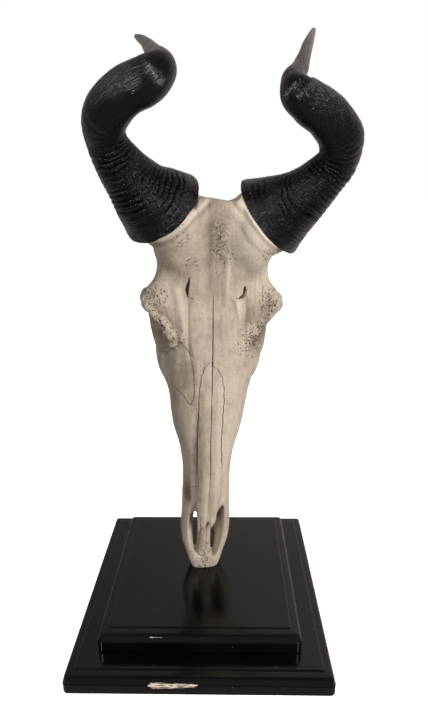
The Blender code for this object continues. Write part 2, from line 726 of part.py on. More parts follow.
def run_share(at, reach):
    """From 0 at the start to 1 at the reach, gently at both ends."""
    t = np.clip(at / reach, 0.0, 1.0)
    return t * t * (3 - 2 * t)


def horn_rings(side, stations, sides=22):
    """Rings of points along a horn, the lower ones on the crests and in the valleys of its ridges."""
    seat, foot_radius, axis = horn_seat(side)
    path = [(*seat, foot_radius)] + mirrored(stations, side).tolist()
    rows = smooth_path(path, 240)
    run = np.concatenate([[0], np.cumsum(np.linalg.norm(np.diff(rows[:, :3], axis=0), axis=1))])
    ringed = RING_PITCH_CM * np.arange(2 * RING_COUNT) / 2
    plain = np.linspace(ringed[-1], run[-1], PLAIN_RINGS)[1:]
    at = np.concatenate([ringed, plain])
    middle = np.stack([np.interp(at, run, rows[:, k]) for k in range(3)], -1)
    radius = np.interp(at, run, rows[:, 3])
    crest = np.where(np.arange(len(at)) % 2 == 0, 1.0, -1.0) * RING_HEIGHT_CM
    crest[2 * RING_COUNT:] = 0.0
    along = unit(np.gradient(middle, at, axis=0))
    level = run_share(at, FOOT_BEND_CM)[:, None]
    along = unit(axis * (1 - level) + along * level)
    across = unit(np.cross(axis, (0.0, 1.0, 0.0)))
    turn = np.linspace(0, 2 * pi, sides, endpoint=False)
    rings = []
    for k in range(len(at)):
        across = unit(across - along[k] * across.dot(along[k]))
        up = np.cross(along[k], across)
        spread = np.cos(turn)[:, None] * across + np.sin(turn)[:, None] * up
        rings.append(middle[k] + (radius[k] + crest[k]) * spread)
    return np.asarray(rings)


def horns(look):
    for side, word, stations in ((-1, "left", HORN_LEFT), (1, "right", HORN_RIGHT)):
        sheath = loft("horn_" + word, posed(horn_rings(side, stations) * CM))
        finish(sheath, look)


def main():
    clear_scene()
    bone_look = material("bone", (0.66, 0.59, 0.49), 0.55)
    horn_look = material("horn", (0.02, 0.017, 0.015), 0.4)
    lacquer = material("black_lacquer", (0.012, 0.01, 0.009), 0.3)
    board("plinth_lower", LOWER_SIDE, 0.0, LOWER_HEIGHT, lacquer)
    board("plinth_upper", UPPER_SIDE, LOWER_HEIGHT + GAP, UPPER_TOP, lacquer)
    for bone in parted_bones():
        finish(bone, bone_look)
    horns(horn_look)


main()
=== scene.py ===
"""Looks of a mounted hartebeest skull: bone, horn sheaths and a plinth of two lacquered boards.

Metres in the row frame, +Z up, the viewer on the -Y side. The skull's own frame is in centimetres:
x to the side, y from the forehead side to the palate side and z up from the nose.
"""

import bpy
import bmesh
import numpy as np
from math import cos, pi, radians, sin
from mathutils import Matrix


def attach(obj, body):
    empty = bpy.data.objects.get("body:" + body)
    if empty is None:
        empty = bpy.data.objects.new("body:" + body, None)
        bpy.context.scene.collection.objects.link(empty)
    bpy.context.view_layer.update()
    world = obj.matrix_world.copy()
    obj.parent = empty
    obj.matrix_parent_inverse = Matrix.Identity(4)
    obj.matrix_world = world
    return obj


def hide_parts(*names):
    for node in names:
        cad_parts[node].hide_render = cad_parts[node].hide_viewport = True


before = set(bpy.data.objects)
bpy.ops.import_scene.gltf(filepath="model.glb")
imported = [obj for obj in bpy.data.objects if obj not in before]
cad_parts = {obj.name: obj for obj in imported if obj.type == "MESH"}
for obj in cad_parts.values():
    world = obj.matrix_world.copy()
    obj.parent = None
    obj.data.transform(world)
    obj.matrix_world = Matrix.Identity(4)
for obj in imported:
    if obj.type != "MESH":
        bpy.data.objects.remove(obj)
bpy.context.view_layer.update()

# Lower board of the plinth: moulded fibreboard under black gloss lacquer, rubbed brown along its
# edges, partly a painted highlight along the rounded side edges, with a cream chip low on the front.
# It stands on the floor and carries the upper board.
LOWER_SIDE = 0.280
LOWER_HEIGHT = 0.0215
CORNER_RADIUS = 0.006
LEAST_CORNER = 0.0008
FLANK_MARGIN = 0.002
# Chips of the lacquer, the second one on the upper board's ledge: middle, half length and half height.
CHIPS = [((-0.0255, -0.140, 0.0118), 0.0262, 0.0034), ((-0.0455, -0.108, 0.0405), 0.0064, 0.0004)]
CHIP_SHARPNESS = 120.0


def linear(text):
    """A colour given as sRGB hex turned into linear light, with alpha 1."""
    srgb = np.array([int(text[k:k + 2], 16) for k in (1, 3, 5)]) / 255
    light = np.where(srgb <= 0.04045, srgb / 12.92, ((srgb + 0.055) / 1.055) ** 2.4)
    return (*light.tolist(), 1.0)


def give_attribute(mesh, word, values):
    """Stores one number or one vector for each point of a mesh, for its material to read."""
    kind, key = ("FLOAT_VECTOR", "vector") if values.ndim == 2 else ("FLOAT", "value")
    mesh.attributes.new(word, kind, "POINT").data.foreach_set(key, values.ravel())


def new_object(name, data):
    """An object in the scene that carries a mesh, a lamp or a camera."""
    made = bpy.data.objects.new(name, data)
    bpy.context.scene.collection.objects.link(made)
    return made


def closed_loft(name, rings, attributes=None):
    """A closed mesh through rings of points, its ends closed by fans; attributes hold a value a point."""
    rings = np.asarray(rings, float)
    count, sides = rings.shape[:2]
    points = np.concatenate([rings.reshape(-1, 3), [rings[0].mean(0), rings[-1].mean(0)]])
    row, j = np.meshgrid(np.arange(count - 1) * sides, np.arange(sides), indexing="ij")
    k = (j + 1) % sides
    quads = np.stack([row + j, row + k, row + sides + k, row + sides + j], -1).reshape(-1, 4)
    edge = np.arange(sides)
    after = (edge + 1) % sides
    last = (count - 1) * sides
    foot = np.stack([np.full(sides, count * sides), after, edge], -1)
    top = np.stack([np.full(sides, count * sides + 1), last + edge, last + after], -1)
    mesh = bpy.data.meshes.new(name)
    mesh.from_pydata(points.tolist(), [], quads.tolist() + foot.tolist() + top.tolist())
    work = bmesh.new()
    work.from_mesh(mesh)
    if work.calc_volume(signed=True) < 0:
        bmesh.ops.reverse_faces(work, faces=work.faces)
    work.to_mesh(mesh)
    work.free()
    for word, values in (attributes or {}).items():
        values = np.asarray(values, float)
        flat = values.reshape(count * sides, *values.shape[2:])
        give_attribute(mesh, word, np.concatenate([flat, [values[0].mean(0), values[-1].mean(0)]]))
    return new_object(name, mesh)


def add(tree, kind, *values, **settings):
    """Adds a node, sets its options, gives its inputs values or links in order and returns its outputs.

    Only the sockets that the options leave in use count, and None leaves one as it is.
    """
    made = tree.nodes.new("ShaderNode" + kind)
    for key, value in settings.items():
        setattr(made, key, value)
    for socket, value in zip([socket for socket in made.inputs if socket.enabled], values):
        if isinstance(value, bpy.types.NodeSocket):
            tree.links.new(value, socket)
        elif value is not None:
            socket.default_value = value
    return [socket for socket in made.outputs if socket.enabled]


def new_material(name):
    """A material with its Principled shader, returned with its node tree."""
    made = bpy.data.materials.new(name)
    made.use_nodes = True
    return made, made.node_tree, made.node_tree.nodes["Principled BSDF"]


def dress(piece, look, slot, *nodes):
    """Gives a finished piece its material, smooth shading and body and hides its CAD parts; slot is not
    used.
    """
    piece.data.materials.clear()
    piece.data.materials.append(look)
    piece.data.shade_smooth()
    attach(piece, "root")
    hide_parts(*nodes)


def rounded_square(half, corner, per_corner=16, per_side=24):
    """The points of a square with rounded corners: quarter circles joined by straight, divided sides."""
    share = np.linspace(0, 1, per_corner + 1)
    points = []
    for quarter, signs in enumerate(((1, 1), (-1, 1), (-1, -1), (1, -1))):
        a = (quarter + share) * pi / 2
        bow = np.array(signs) * (half - corner) + corner * np.stack([np.cos(a), np.sin(a)], -1)
        next_bow = np.array([-bow[0][1], bow[0][0]])
        side = bow[-1] + (next_bow - bow[-1]) * np.linspace(0, 1, per_side + 1)[1:-1, None]
        points += [bow, side]
    return np.concatenate(points)


# Share of the edge rub, partly a painted highlight, that the front and back edges get.
FRONT_SHARE_OF_RUB_AND_HIGHLIGHT = 0.32
# Inset and level of the moulding's outline, above the board's foot and below its top, and how much it is
# rubbed there, which also paints a highlight along the rounded edges.
BOARD_FOOT = [(0.0012, 0.0, 0.2), (0.0003, 0.0004, 0.5), (0.0, 0.0012, 0.3), (0.0, 0.0024, 0.0)]
BOARD_EDGE = [
    (0.0, -0.0106, 0.0), (0.0, -0.0101, 0.2), (0.0002, -0.0097, 0.5), (0.0006, -0.0095, 0.3),
    (0.0007, -0.009, 0.0), (0.001, -0.0078, 0.0), (0.0013, -0.0062, 0.1), (0.0017, -0.0047, 0.2),
    (0.0021, -0.0034, 0.5), (0.0025, -0.0024, 0.9), (0.0029, -0.0018, 0.7), (0.0034, -0.0015, 0.2),
    (0.0038, -0.0014, 0.0), (0.0048, -0.0013, 0.0), (0.0098, -0.0011, 0.0), (0.0104, -0.0011, 0.0),
    (0.0107, -0.001, 0.0), (0.0109, -0.0008, 0.1), (0.0111, -0.0005, 0.5), (0.0113, -0.0002, 1.0),
    (0.0117, 0.0, 0.7), (0.0124, 0.0, 0.1), (0.014, 0.0, 0.0),
]


def board_mesh(name, side, foot, top):
    """Rounded squares stacked along the moulding's outline, from a small foot round to the flat top."""
    rows = [(inset, foot + level, rub_and_edge_highlight) for inset, level, rub_and_edge_highlight in BOARD_FOOT]
    rows += [(inset, top + level, rub_and_edge_highlight) for inset, level, rub_and_edge_highlight in BOARD_EDGE]
    rings, rubs_and_edge_highlights = [], []
    for inset, z, rub_and_edge_highlight in rows:
        outline = rounded_square(side / 2 - inset, max(CORNER_RADIUS - inset, LEAST_CORNER))
        rings.append(np.column_stack([outline, np.full(len(outline), z)]))
        # The side edges get the full rub and painted edge highlight, the front and back only a share of it.
        flanks = np.abs(outline[:, 0]) > np.abs(outline[:, 1]) + FLANK_MARGIN
        rubs_and_edge_highlights.append(np.where(flanks, rub_and_edge_highlight, rub_and_edge_highlight * FRONT_SHARE_OF_RUB_AND_HIGHLIGHT))
    return closed_loft(name, rings, {"rub_and_edge_highlight": rubs_and_edge_highlights})


def lacquer_look(name):
    """Black gloss lacquer sprayed on fibreboard: mirror-like and deep, with dust, chips and rubbed edges,
    partly painted highlights.
    """
    look, tree, shader = new_material(name)
    place = add(tree, "TexCoord")[3]
    rub_and_edge_highlight = add(tree, "Attribute", attribute_name="rub_and_edge_highlight")[2]
    # The edges are rubbed through in patches about 14 mm long, a lighter brown grey that is partly a
    # painted highlight on the rounded edges, and the gloss is hazed in clouds of 70 mm.
    patchy = add(tree, "TexNoise", place, 70.0, 6.0)[0]
    worn_and_edge_highlight = add(tree, "Math", rub_and_edge_highlight, patchy, operation="MULTIPLY")[0]
    worn_and_edge_highlight = add(tree, "MapRange", worn_and_edge_highlight, 0.30, 0.62, 0.0, 0.75)[0]
    haze = add(tree, "TexNoise", place, 14.0, 3.0)[0]
    haze = add(tree, "MapRange", haze, 0.35, 0.70)[0]
    # Dust lies as specks about 0.5 mm wide and 12 mm apart, drawn a little larger than real to show.
    distance, cell, _ = add(tree, "TexVoronoi", place, 85.0)
    near = add(tree, "MapRange", distance, 0.022, 0.045, 1.0, 0.0)[0]
    few = add(tree, "SeparateColor", cell)[0]
    few = add(tree, "MapRange", few, 0.66, 0.70)[0]
    dust = add(tree, "Math", near, few, operation="MULTIPLY")[0]
    # Each chip is a long patch about its middle, squarer at its ends, its edge torn by noise.
    torn = add(tree, "Mapping", place, None, None, (0.40, 1.0, 1.0))[0]
    ragged = add(tree, "TexNoise", torn, 480.0, 5.0)[0]
    tear = add(tree, "Math", ragged, 1.5, operation="MULTIPLY")[0]
    chip = 0.0
    for middle, half_length, half_height in CHIPS:
        moved = add(tree, "Mapping", place, tuple(-v for v in middle))[0]
        x, y, z = add(tree, "SeparateXYZ", moved)
        along = add(tree, "Math", x, 1 / half_length, operation="MULTIPLY")[0]
        taper = add(tree, "MapRange", along, -1.0, 1.0, 1.25, 0.50)[0]
        height = add(tree, "Math", taper, half_height, operation="MULTIPLY")[0]
        across = add(tree, "Math", z, height, operation="DIVIDE")[0]
        depth = add(tree, "Math", y, CHIP_SHARPNESS, operation="MULTIPLY")[0]
        fourth = add(tree, "Math", along, along, operation="MULTIPLY")[0]
        fourth = add(tree, "Math", fourth, fourth, operation="MULTIPLY")[0]
        reach = add(tree, "CombineXYZ", fourth, depth, across)[0]
        reach = add(tree, "VectorMath", reach, operation="LENGTH")[0]
        reach = add(tree, "Math", reach, tear, operation="ADD")[0]
        patch = add(tree, "MapRange", reach, 1.52, 1.64, 1.0, 0.0)[0]
        chip = add(tree, "Math", chip, patch, operation="MAXIMUM")[0]
    # The bare fibreboard in a chip is cream, in level streaks about 1 mm thick.
    grain = add(tree, "Mapping", place, None, None, (160.0, 160.0, 900.0))[0]
    grain = add(tree, "TexNoise", grain, 1.0, 4.0)[0]
    grain = add(tree, "MapRange", grain, 0.40, 0.56)[0]
    cream = add(tree, "Mix", grain, linear("#6b5a47"), linear("#ded2c0"), data_type="RGBA")[0]
    colour = linear("#060505")
    # The rubbed brown grey on the edges is partly a painted highlight.
    coats = [(haze, linear("#0c0a0a")), (worn_and_edge_highlight, linear("#3a322c")), (dust, linear("#8f877c")), (chip, cream)]
    for share, tint in coats:
        colour = add(tree, "Mix", share, colour, tint, data_type="RGBA")[0]
    tree.links.new(colour, shader.inputs["Base Color"])
    shader.inputs["IOR"].default_value = 1.40
    rough = add(tree, "MapRange", haze, 0.0, 1.0, 0.12, 0.19)[0]
    rough = add(tree, "Math", rough, worn_and_edge_highlight, operation="ADD")[0]
    rough = add(tree, "Math", rough, chip, operation="ADD", use_clamp=True)[0]
    tree.links.new(rough, shader.inputs["Roughness"])
    # Sprayed lacquer dries with shallow ripples about 20 mm wide.
    sprayed = add(tree, "TexNoise", place, 45.0, 2.0)[0]
    level = 0.0
    for height, share in ((sprayed, 0.06), (chip, -0.6)):
        height = add(tree, "Math", height, share, operation="MULTIPLY")[0]
        level = add(tree, "Math", level, height, operation="ADD")[0]
    bump = add(tree, "Bump", 0.5, 0.0008, None, level)[0]
    tree.links.new(bump, shader.inputs["Normal"])
    return look


lacquer = lacquer_look("black_gloss_lacquer_on_fibreboard")
lower = board_mesh("plinth_lower_board", LOWER_SIDE, 0.0, LOWER_HEIGHT)
dress(lower, lacquer, "black_lacquer", "plinth_lower")

# Upper board of the plinth: the same moulding, smaller, screwed down on the middle of the lower one.
UPPER_SIDE = 0.218
UPPER_TOP = 0.0450
BOARD_GAP = 0.0003

upper = board_mesh("plinth_upper_board", UPPER_SIDE, LOWER_HEIGHT + BOARD_GAP, UPPER_TOP)
dress(upper, lacquer, "black_lacquer", "plinth_upper")

# The skull's bone, dry and matte, warm beige grey: cranium, two maxillae with their teeth, two premaxillae
# and two nasals, grown together or closely fitted along their sutures. The nose stands on the upper board.
CM = 0.01
LEAN = radians(2.8)
TURN = radians(6.0)
NOSE_X = 0.0017
BEND_CM = 0.20
BEND_HEIGHT_CM = 26.0
BEND_REACH_CM = 5.0
HAIRLINE_CM = 0.018
BONE_VOXEL = 0.0014
SIDES = ((-1, "left"), (1, "right"))


def smooth_rows(rows, count):
    """Rows of stations, the first column being the place along the form, read as smooth curves."""
    rows = np.asarray(rows, float)
    along = rows[:, 0]
    slopes = np.gradient(rows, along, axis=0)
    at = np.linspace(along[0], along[-1], count)
    k = np.clip(np.searchsorted(along, at, side="right") - 1, 0, len(along) - 2)
    span = (along[k + 1] - along[k])[:, None]
    t = ((at - along[k])[:, None]) / span
    low, high = rows[k], rows[k + 1]
    bend = (2 * t**3 - 3 * t**2 + 1) * low + (3 * t**2 - 2 * t**3) * high
    return bend + span * ((t**3 - 2 * t**2 + t) * slopes[k] + (t**3 - t**2) * slopes[k + 1])


def smooth_path(stations, count):
    """Stations of x, y, z and sizes read along the line through them."""
    rows = np.asarray(stations, float)
    steps = np.linalg.norm(np.diff(rows[:, :3], axis=0), axis=1)
    return smooth_rows(np.column_stack([np.concatenate([[0], np.cumsum(steps)]), rows]), count)[:, 1:]


def unit(rows):
    """Vectors divided by their own lengths."""
    return rows / np.linalg.norm(rows, axis=-1, keepdims=True)


def face_bend(z):
    """How far the face bends to the side at a height: a bell about the height of the eyes' lower rims."""
    return BEND_CM * np.exp(-((z - BEND_HEIGHT_CM) / BEND_REACH_CM) ** 2)


def posed(points):
    """From the skull's own frame to the row frame: bent, turned, leaned and stood on the plinth."""
    points = np.asarray(points, float)
    side = points[..., 0] + face_bend(points[..., 2])
    across = side * cos(TURN) - points[..., 1] * sin(TURN)
    y = side * sin(TURN) + points[..., 1] * cos(TURN)
    x = across * cos(LEAN) + points[..., 2] * sin(LEAN)
    z = points[..., 2] * cos(LEAN) - across * sin(LEAN)
    return np.stack([x, y, z], -1) * CM + (NOSE_X, 0.0, UPPER_TOP)


def unposed(points):
    """From the row frame back to the skull's own frame, in centimetres."""
    points = (np.asarray(points, float) - (NOSE_X, 0.0, UPPER_TOP)) / CM
    across = points[..., 0] * cos(LEAN) - points[..., 2] * sin(LEAN)
    z = points[..., 0] * sin(LEAN) + points[..., 2] * cos(LEAN)
    x = across * cos(TURN) + points[..., 1] * sin(TURN) - face_bend(z)
    y = points[..., 1] * cos(TURN) - across * sin(TURN)
    return np.stack([x, y, z], -1)


def rounded(angles, power):
    """The cosine and sine of a rounded square: power 2 is a circle and more is squarer."""
    c, s = np.cos(angles), np.sin(angles)
    return np.sign(c) * np.abs(c) ** (2 / power), np.sign(s) * np.abs(s) ** (2 / power)


def section_form(name, stations, count, sides=72):
    """A form along z from stations of height, half width, front, back, squareness and perhaps flare."""
    rows = smooth_rows([(*row, 0.0)[:6] for row in stations], count)
    z, half, front, back, power, flare = (rows[:, [k]] for k in range(6))
    turn = np.linspace(0, 2 * pi, sides, endpoint=False)[None, :]
    c, s = rounded(turn, power)
    y = (front + back) / 2 + (back - front) / 2 * s
    x = half * c * (1 + flare * s)
    return closed_loft(name, posed(np.stack([x, y, np.broadcast_to(z, x.shape)], -1)))


def bar_form(name, stations, count=40, sides=24):
    """A bar through stations of x, y, z, its half width to the side and its half depth."""
    rows = smooth_path(stations, count)
    path, wide, deep = rows[:, :3], rows[:, [3]], rows[:, [4]]
    along = unit(np.gradient(path, axis=0))
    side = unit(np.array([1.0, 0.0, 0.0]) - along * along[:, [0]])
    other = np.cross(along, side)
    turn = np.linspace(0, 2 * pi, sides, endpoint=False)
    rings = path[:, None] + (side * wide)[:, None] * np.cos(turn)[None, :, None]
    return closed_loft(name, posed(rings + (other * deep)[:, None] * np.sin(turn)[None, :, None]))


def blob_form(name, centre, radii, tilt=0.0, count=28, sides=40):
    """An egg about a centre, tilted about the side axis by an angle in degrees."""
    polar = np.linspace(0.06, pi - 0.06, count)[:, None]
    turn = np.linspace(0, 2 * pi, sides, endpoint=False)[None, :]
    x = radii[0] * np.sin(polar) * np.cos(turn)
    y = radii[1] * np.sin(polar) * np.sin(turn)
    z = np.broadcast_to(-radii[2] * np.cos(polar), x.shape)
    a = radians(tilt)
    points = np.stack([x, y * cos(a) - z * sin(a), y * sin(a) + z * cos(a)], -1)
    return closed_loft(name, posed(points + np.asarray(centre, float)))


def box_form(name, stations):
    """A four-sided block along z from stations of height, left, right, front and back."""
    rings = [[(x0, y0, z), (x1, y0, z), (x1, y1, z), (x0, y1, z)] for z, x0, x1, y0, y1 in stations]
    return closed_loft(name, posed(rings))


def mirrored(stations, side):
    """Stations whose first number, the place to the side, is turned to that side."""
    rows = np.asarray(stations, float).copy()
    rows[..., 0] *= side
    return rows


def drop(things):
    """Removes objects that are used up."""
    for thing in things:
        bpy.data.objects.remove(thing, do_unlink=True)


def copy_of(body, name):
    """A second object with its own copy of the mesh."""
    return new_object(name, body.data.copy())


def reshape(body, kind, **settings):
    """Puts one modifier on a body and keeps what it makes of the mesh."""
    step = body.modifiers.new("step", kind)
    for key, value in settings.items():
        setattr(step, key, value)
    mesh = bpy.data.meshes.new_from_object(body.evaluated_get(bpy.context.evaluated_depsgraph_get()))
    old = body.data
    body.modifiers.clear()
    body.data = mesh
    bpy.data.meshes.remove(old)


def fused(name, forms):
    """One surface around all the forms: they are joined and then wrapped again by a fine grid."""
    work = bmesh.new()
    for form in forms:
        work.from_mesh(form.data)
    mesh = bpy.data.meshes.new(name)
    work.to_mesh(mesh)
    work.free()
    drop(forms)
    body = new_object(name, mesh)
    reshape(body, "REMESH", mode="VOXEL", voxel_size=BONE_VOXEL)
    return body


def boolean(body, cutters, operation):
    """Joins, cuts or crosses a body with several closed objects, which are used up."""
    group = bpy.data.collections.new("pieces")
    for cutter in cutters:
        group.objects.link(cutter)
    settings = {"operand_type": "COLLECTION", "collection": group, "solver": "MANIFOLD"}
    reshape(body, "BOOLEAN", operation=operation, **settings)
    drop(cutters)
    bpy.data.collections.remove(group)


# Stations of height, half width, front, back, squareness and, where there is some, flare.
FACE = [
    (-1.6, 0.9, -0.1, 1.5, 3.0), (-0.6, 1.36, -0.36, 1.6, 3.0), (0.0, 1.64, -0.38, 1.68, 3.0),
    (0.6, 1.94, -0.28, 1.78, 2.8), (1.6, 2.3, -0.02, 1.95, 2.5), (2.8, 2.72, 0.08, 2.3, 2.4),
    (4.6, 3.02, 0.05, 2.9, 2.4), (7.5, 2.96, -0.25, 3.8, 2.3), (9.5, 2.9, -0.6, 4.5, 2.2),
    (12.0, 2.88, -0.75, 5.2, 2.2, 0.02), (13.6, 2.98, -0.58, 5.7, 2.2, 0.06),
    (15.5, 3.34, -0.38, 6.3, 2.2, 0.1), (17.4, 3.98, -0.15, 7.0, 2.2, 0.08),
    (19.5, 4.36, 0.08, 7.7, 2.3, 0.05), (22.5, 4.76, 0.32, 8.5, 2.3), (26.0, 5.3, 0.55, 9.2, 2.3, -0.04),
    (29.0, 5.2, 0.75, 9.2, 2.2, -0.08), (32.0, 4.4, 0.95, 9.0, 2.2, -0.1),
    (35.5, 4.2, 1.4, 9.6, 2.2, -0.05), (38.5, 3.8, 2.4, 10.4, 2.2),
]
NASALS = [
    (5.7, 0.55, -1.2, -0.8, 2.2), (6.5, 1.0, -1.25, -0.75, 2.2), (8.5, 1.25, -1.12, -0.5, 2.2),
    (10.5, 1.5, -0.98, -0.1, 2.2), (13.0, 1.62, -0.74, 0.25, 2.2), (18.0, 1.75, -0.25, 0.8, 2.2),
    (24.0, 1.8, 0.3, 1.4, 2.2), (30.0, 1.8, 0.74, 2.0, 2.2),
]
FOREHEAD = [
    (26.0, 4.3, 0.85, 3.2, 2.4), (29.0, 4.75, 0.85, 4.0, 2.4, 0.1), (30.8, 5.45, 0.95, 4.0, 2.3, 0.1),
    (32.2, 7.1, 1.05, 4.0, 2.2), (33.2, 7.7, 1.15, 4.3, 2.2), (34.2, 7.3, 1.1, 4.7, 2.2),
    (35.2, 6.5, 1.0, 5.0, 2.2), (36.6, 6.1, 0.65, 5.6, 2.4), (38.4, 6.4, 0.15, 6.0, 2.7),
    (40.0, 6.6, -0.4, 6.4, 3.0), (41.6, 6.1, -0.9, 6.4, 3.0), (43.1, 5.0, -1.1, 5.9, 2.8),
    (43.9, 3.8, -0.9, 5.2, 2.6),
]
NOSE_TROUGH = [
    (2.2, 0.8, 1.4, 1.7, 2.2), (3.4, 1.2, 1.1, 1.8, 2.2), (4.6, 1.45, 0.6, 2.1, 2.4),
    (5.6, 1.6, -0.2, 2.4, 2.6), (6.4, 1.75, -0.8, 2.7, 2.8), (7.0, 1.85, -0.5, 3.0, 2.8),
    (7.7, 1.9, -0.2, 3.3, 2.6), (8.8, 1.95, 0.0, 3.6, 2.4), (10.5, 2.0, 0.0, 3.9, 2.4),
    (13.0, 2.0, 0.05, 4.3, 2.2), (17.0, 1.95, 0.2, 5.1, 2.2), (20.0, 1.5, 0.45, 5.3, 2.2),
]
# Each side's nose opening: height, its edge beside the nasals, its rim, the foot of the slanted wall that
# goes in from the rim, and how far back it reaches.
NOSE_NOTCH = {
    -1: [
        (1.6, 0.78, 1.15, 1.0, 1.1), (2.6, 0.8, 1.72, 1.25, 1.5), (4.0, 0.8, 2.0, 1.5, 1.9),
        (5.4, 0.78, 2.08, 1.62, 2.2), (6.3, 0.84, 2.04, 1.62, 2.3), (7.0, 0.88, 1.92, 1.5, 2.3),
        (7.5, 0.95, 1.7, 1.4, 2.3), (7.85, 1.08, 1.38, 1.26, 2.2),
    ],
    1: [
        (1.2, 0.86, 1.2, 1.1, 1.0), (2.2, 0.72, 1.72, 1.25, 1.4), (3.6, 0.64, 2.12, 1.36, 1.8),
        (5.0, 0.6, 2.32, 1.46, 2.1), (6.0, 0.6, 2.36, 1.52, 2.3), (6.5, 0.76, 2.33, 1.58, 2.3),
        (7.2, 1.08, 2.28, 1.66, 2.3), (7.9, 1.42, 2.18, 1.78, 2.3), (8.4, 1.68, 2.07, 1.88, 2.2),
        (8.65, 1.86, 1.98, 1.92, 2.2),
    ],
}
# Stations of x, y, z, half width to the side and half depth.
ORBIT_RIM = [
    (4.75, 2.75, 28.3, 0.7, 0.65), (4.85, 2.35, 29.0, 0.6, 0.55), (5.1, 2.15, 29.9, 0.5, 0.55),
    (5.75, 2.1, 30.8, 0.5, 0.6), (6.6, 2.2, 31.7, 0.5, 0.65), (7.45, 2.6, 32.6, 0.5, 0.65),
    (7.45, 3.6, 33.3, 0.5, 0.65), (7.05, 5.4, 33.5, 0.5, 0.55), (6.95, 6.9, 32.7, 0.5, 0.55),
    (6.95, 7.6, 31.2, 0.5, 0.65), (6.65, 7.3, 29.4, 0.55, 0.75), (6.1, 6.3, 27.8, 0.65, 0.8),
    (5.6, 5.0, 27.1, 0.75, 0.8), (5.1, 3.7, 27.3, 0.75, 0.7),
]
CHEEK_ARCH = [
    (3.9, 6.8, 19.5, 0.6, 1.0), (4.3, 6.8, 21.8, 0.65, 1.2), (4.8, 6.8, 23.0, 0.7, 1.4),
    (5.3, 6.8, 24.0, 0.75, 1.5), (5.62, 6.9, 25.2, 0.75, 1.45), (5.85, 7.1, 27.0, 0.7, 1.25),
    (6.1, 7.6, 29.0, 0.55, 1.05), (6.3, 8.2, 31.0, 0.5, 0.95), (6.15, 8.9, 33.6, 0.45, 0.8),
    (5.5, 9.6, 36.0, 0.55, 0.8), (4.8, 10.2, 37.6, 0.9, 0.9),
]
GUM_RIDGE = [
    (2.3, 5.0, 11.6, 0.55, 0.7), (2.55, 6.45, 15.0, 0.8, 1.2), (3.15, 8.6, 20.5, 0.95, 1.4),
    (3.35, 9.3, 23.2, 0.8, 1.1),
]
NECK_CREST = [
    (-4.0, 11.6, 38.6, 0.5, 0.5), (-3.0, 11.3, 41.2, 0.5, 0.5), (0.0, 10.9, 42.2, 0.6, 0.6),
    (3.0, 11.3, 41.2, 0.5, 0.5), (4.0, 11.6, 38.6, 0.5, 0.5),
]
SKULL_BASE = [
    (0.0, 12.8, 37.0, 1.8, 1.0), (0.0, 11.8, 33.5, 1.3, 0.9), (0.0, 9.6, 29.0, 1.1, 1.2),
]
NECK_PRONG = [
    (3.3, 12.2, 37.2, 0.7, 0.7), (3.3, 13.8, 36.0, 0.5, 0.5), (3.1, 15.0, 34.8, 0.28, 0.28),
]
THROAT_PLATE = [
    (2.0, 8.6, 24.4, 0.35, 0.9), (1.7, 10.2, 27.5, 0.3, 1.1), (1.5, 10.6, 31.0, 0.3, 0.9),
    (1.3, 11.2, 34.0, 0.4, 0.6),
]
THROAT = [
    (0, 7.6, 23.6, 1.1, 1.3), (0, 9.6, 27.0, 1.15, 1.9), (0, 12.6, 29.5, 1.15, 1.9),
]
NOSE_FLOOR = [
    (0.0, 0.55, 0.8, 0.8, 0.6), (-0.05, 0.35, 3.0, 0.72, 0.5), (-0.08, 0.1, 5.0, 0.68, 0.5),
    (-0.08, -0.05, 6.6, 0.68, 0.5), (0.0, 1.4, 8.4, 0.6, 0.5), (0.0, 3.2, 12.0, 0.5, 0.6),
]
# The way through the floor of the nose on each side: middle to the side and up, half width and half height.
NOSE_SLOT = {-1: (1.20, 4.00, 0.30, 2.48), 1: (0.96, 3.60, 0.33, 2.40)}
# The notch between the tips of the nasals: height, left and right.
TIP_NOTCH = [
    (5.6, -0.55, 0.62), (6.25, -0.3, 0.48), (6.7, -0.12, 0.34), (7.1, 0.02, 0.22), (7.4, 0.09, 0.13),
]
# The top edge of the face between the horns, from left to right.
CROWN_X_CM = (-3.4, -2.7, -2.3, -1.8, -1.0, 0.3, 1.5, 2.0, 2.4, 3.2)
CROWN_Z_CM = (45.2, 44.8, 44.25, 44.08, 43.95, 43.78, 43.60, 43.75, 44.10, 44.8)
# The middle of each sheath's foot, its radius, and the horn's outward and forward slant there in degrees.
HORN_FOOT = {-1: ((-5.50, 2.90, 42.70), 4.66, 47.0, 30.0), 1: ((5.82, 2.85, 42.20), 4.72, 42.0, 24.0)}
CORE_SHIFT_CM = (0.30, 0.85)
CORE_STEPS = [(-6.0, 0.0, 3.15), (-3.0, 0.4, 3.55), (-1.0, 0.8, 3.80), (-0.3, 1.0, 3.95), (1.5, 1.0, 3.95)]
SEAT_MARGIN_CM = 0.6
SEAT_DEPTH_CM = 5.0
REST_HALF = 0.06
REST_DEPTH = 0.03


def horn_seat(side):
    """The middle of the sheath's foot, its radius, and the way that the horn leaves there."""
    middle, radius, out, forward = HORN_FOOT[side]
    level = cos(radians(forward))
    axis = np.array([side * cos(radians(out)) * level, -sin(radians(forward)), sin(radians(out)) * level])
    return np.asarray(middle), radius, axis


def horn_core(side, word):
    """The stub of bone that carries the sheath, with a collar that shows in front of the sheath's foot."""
    seat, _, axis = horn_seat(side)
    inner = unit(np.array([-side, 0.0, 0.0]) + axis * axis[0] * side)
    front = unit(np.array([0.0, -1.0, 0.0]) + axis * axis[1])
    shift = inner * CORE_SHIFT_CM[0] + front * CORE_SHIFT_CM[1]
    stations = []
    for step, share, radius in CORE_STEPS:
        stations.append((*(seat + axis * step + shift * share), radius, radius))
    return bar_form("core_" + word, stations, count=60, sides=64)


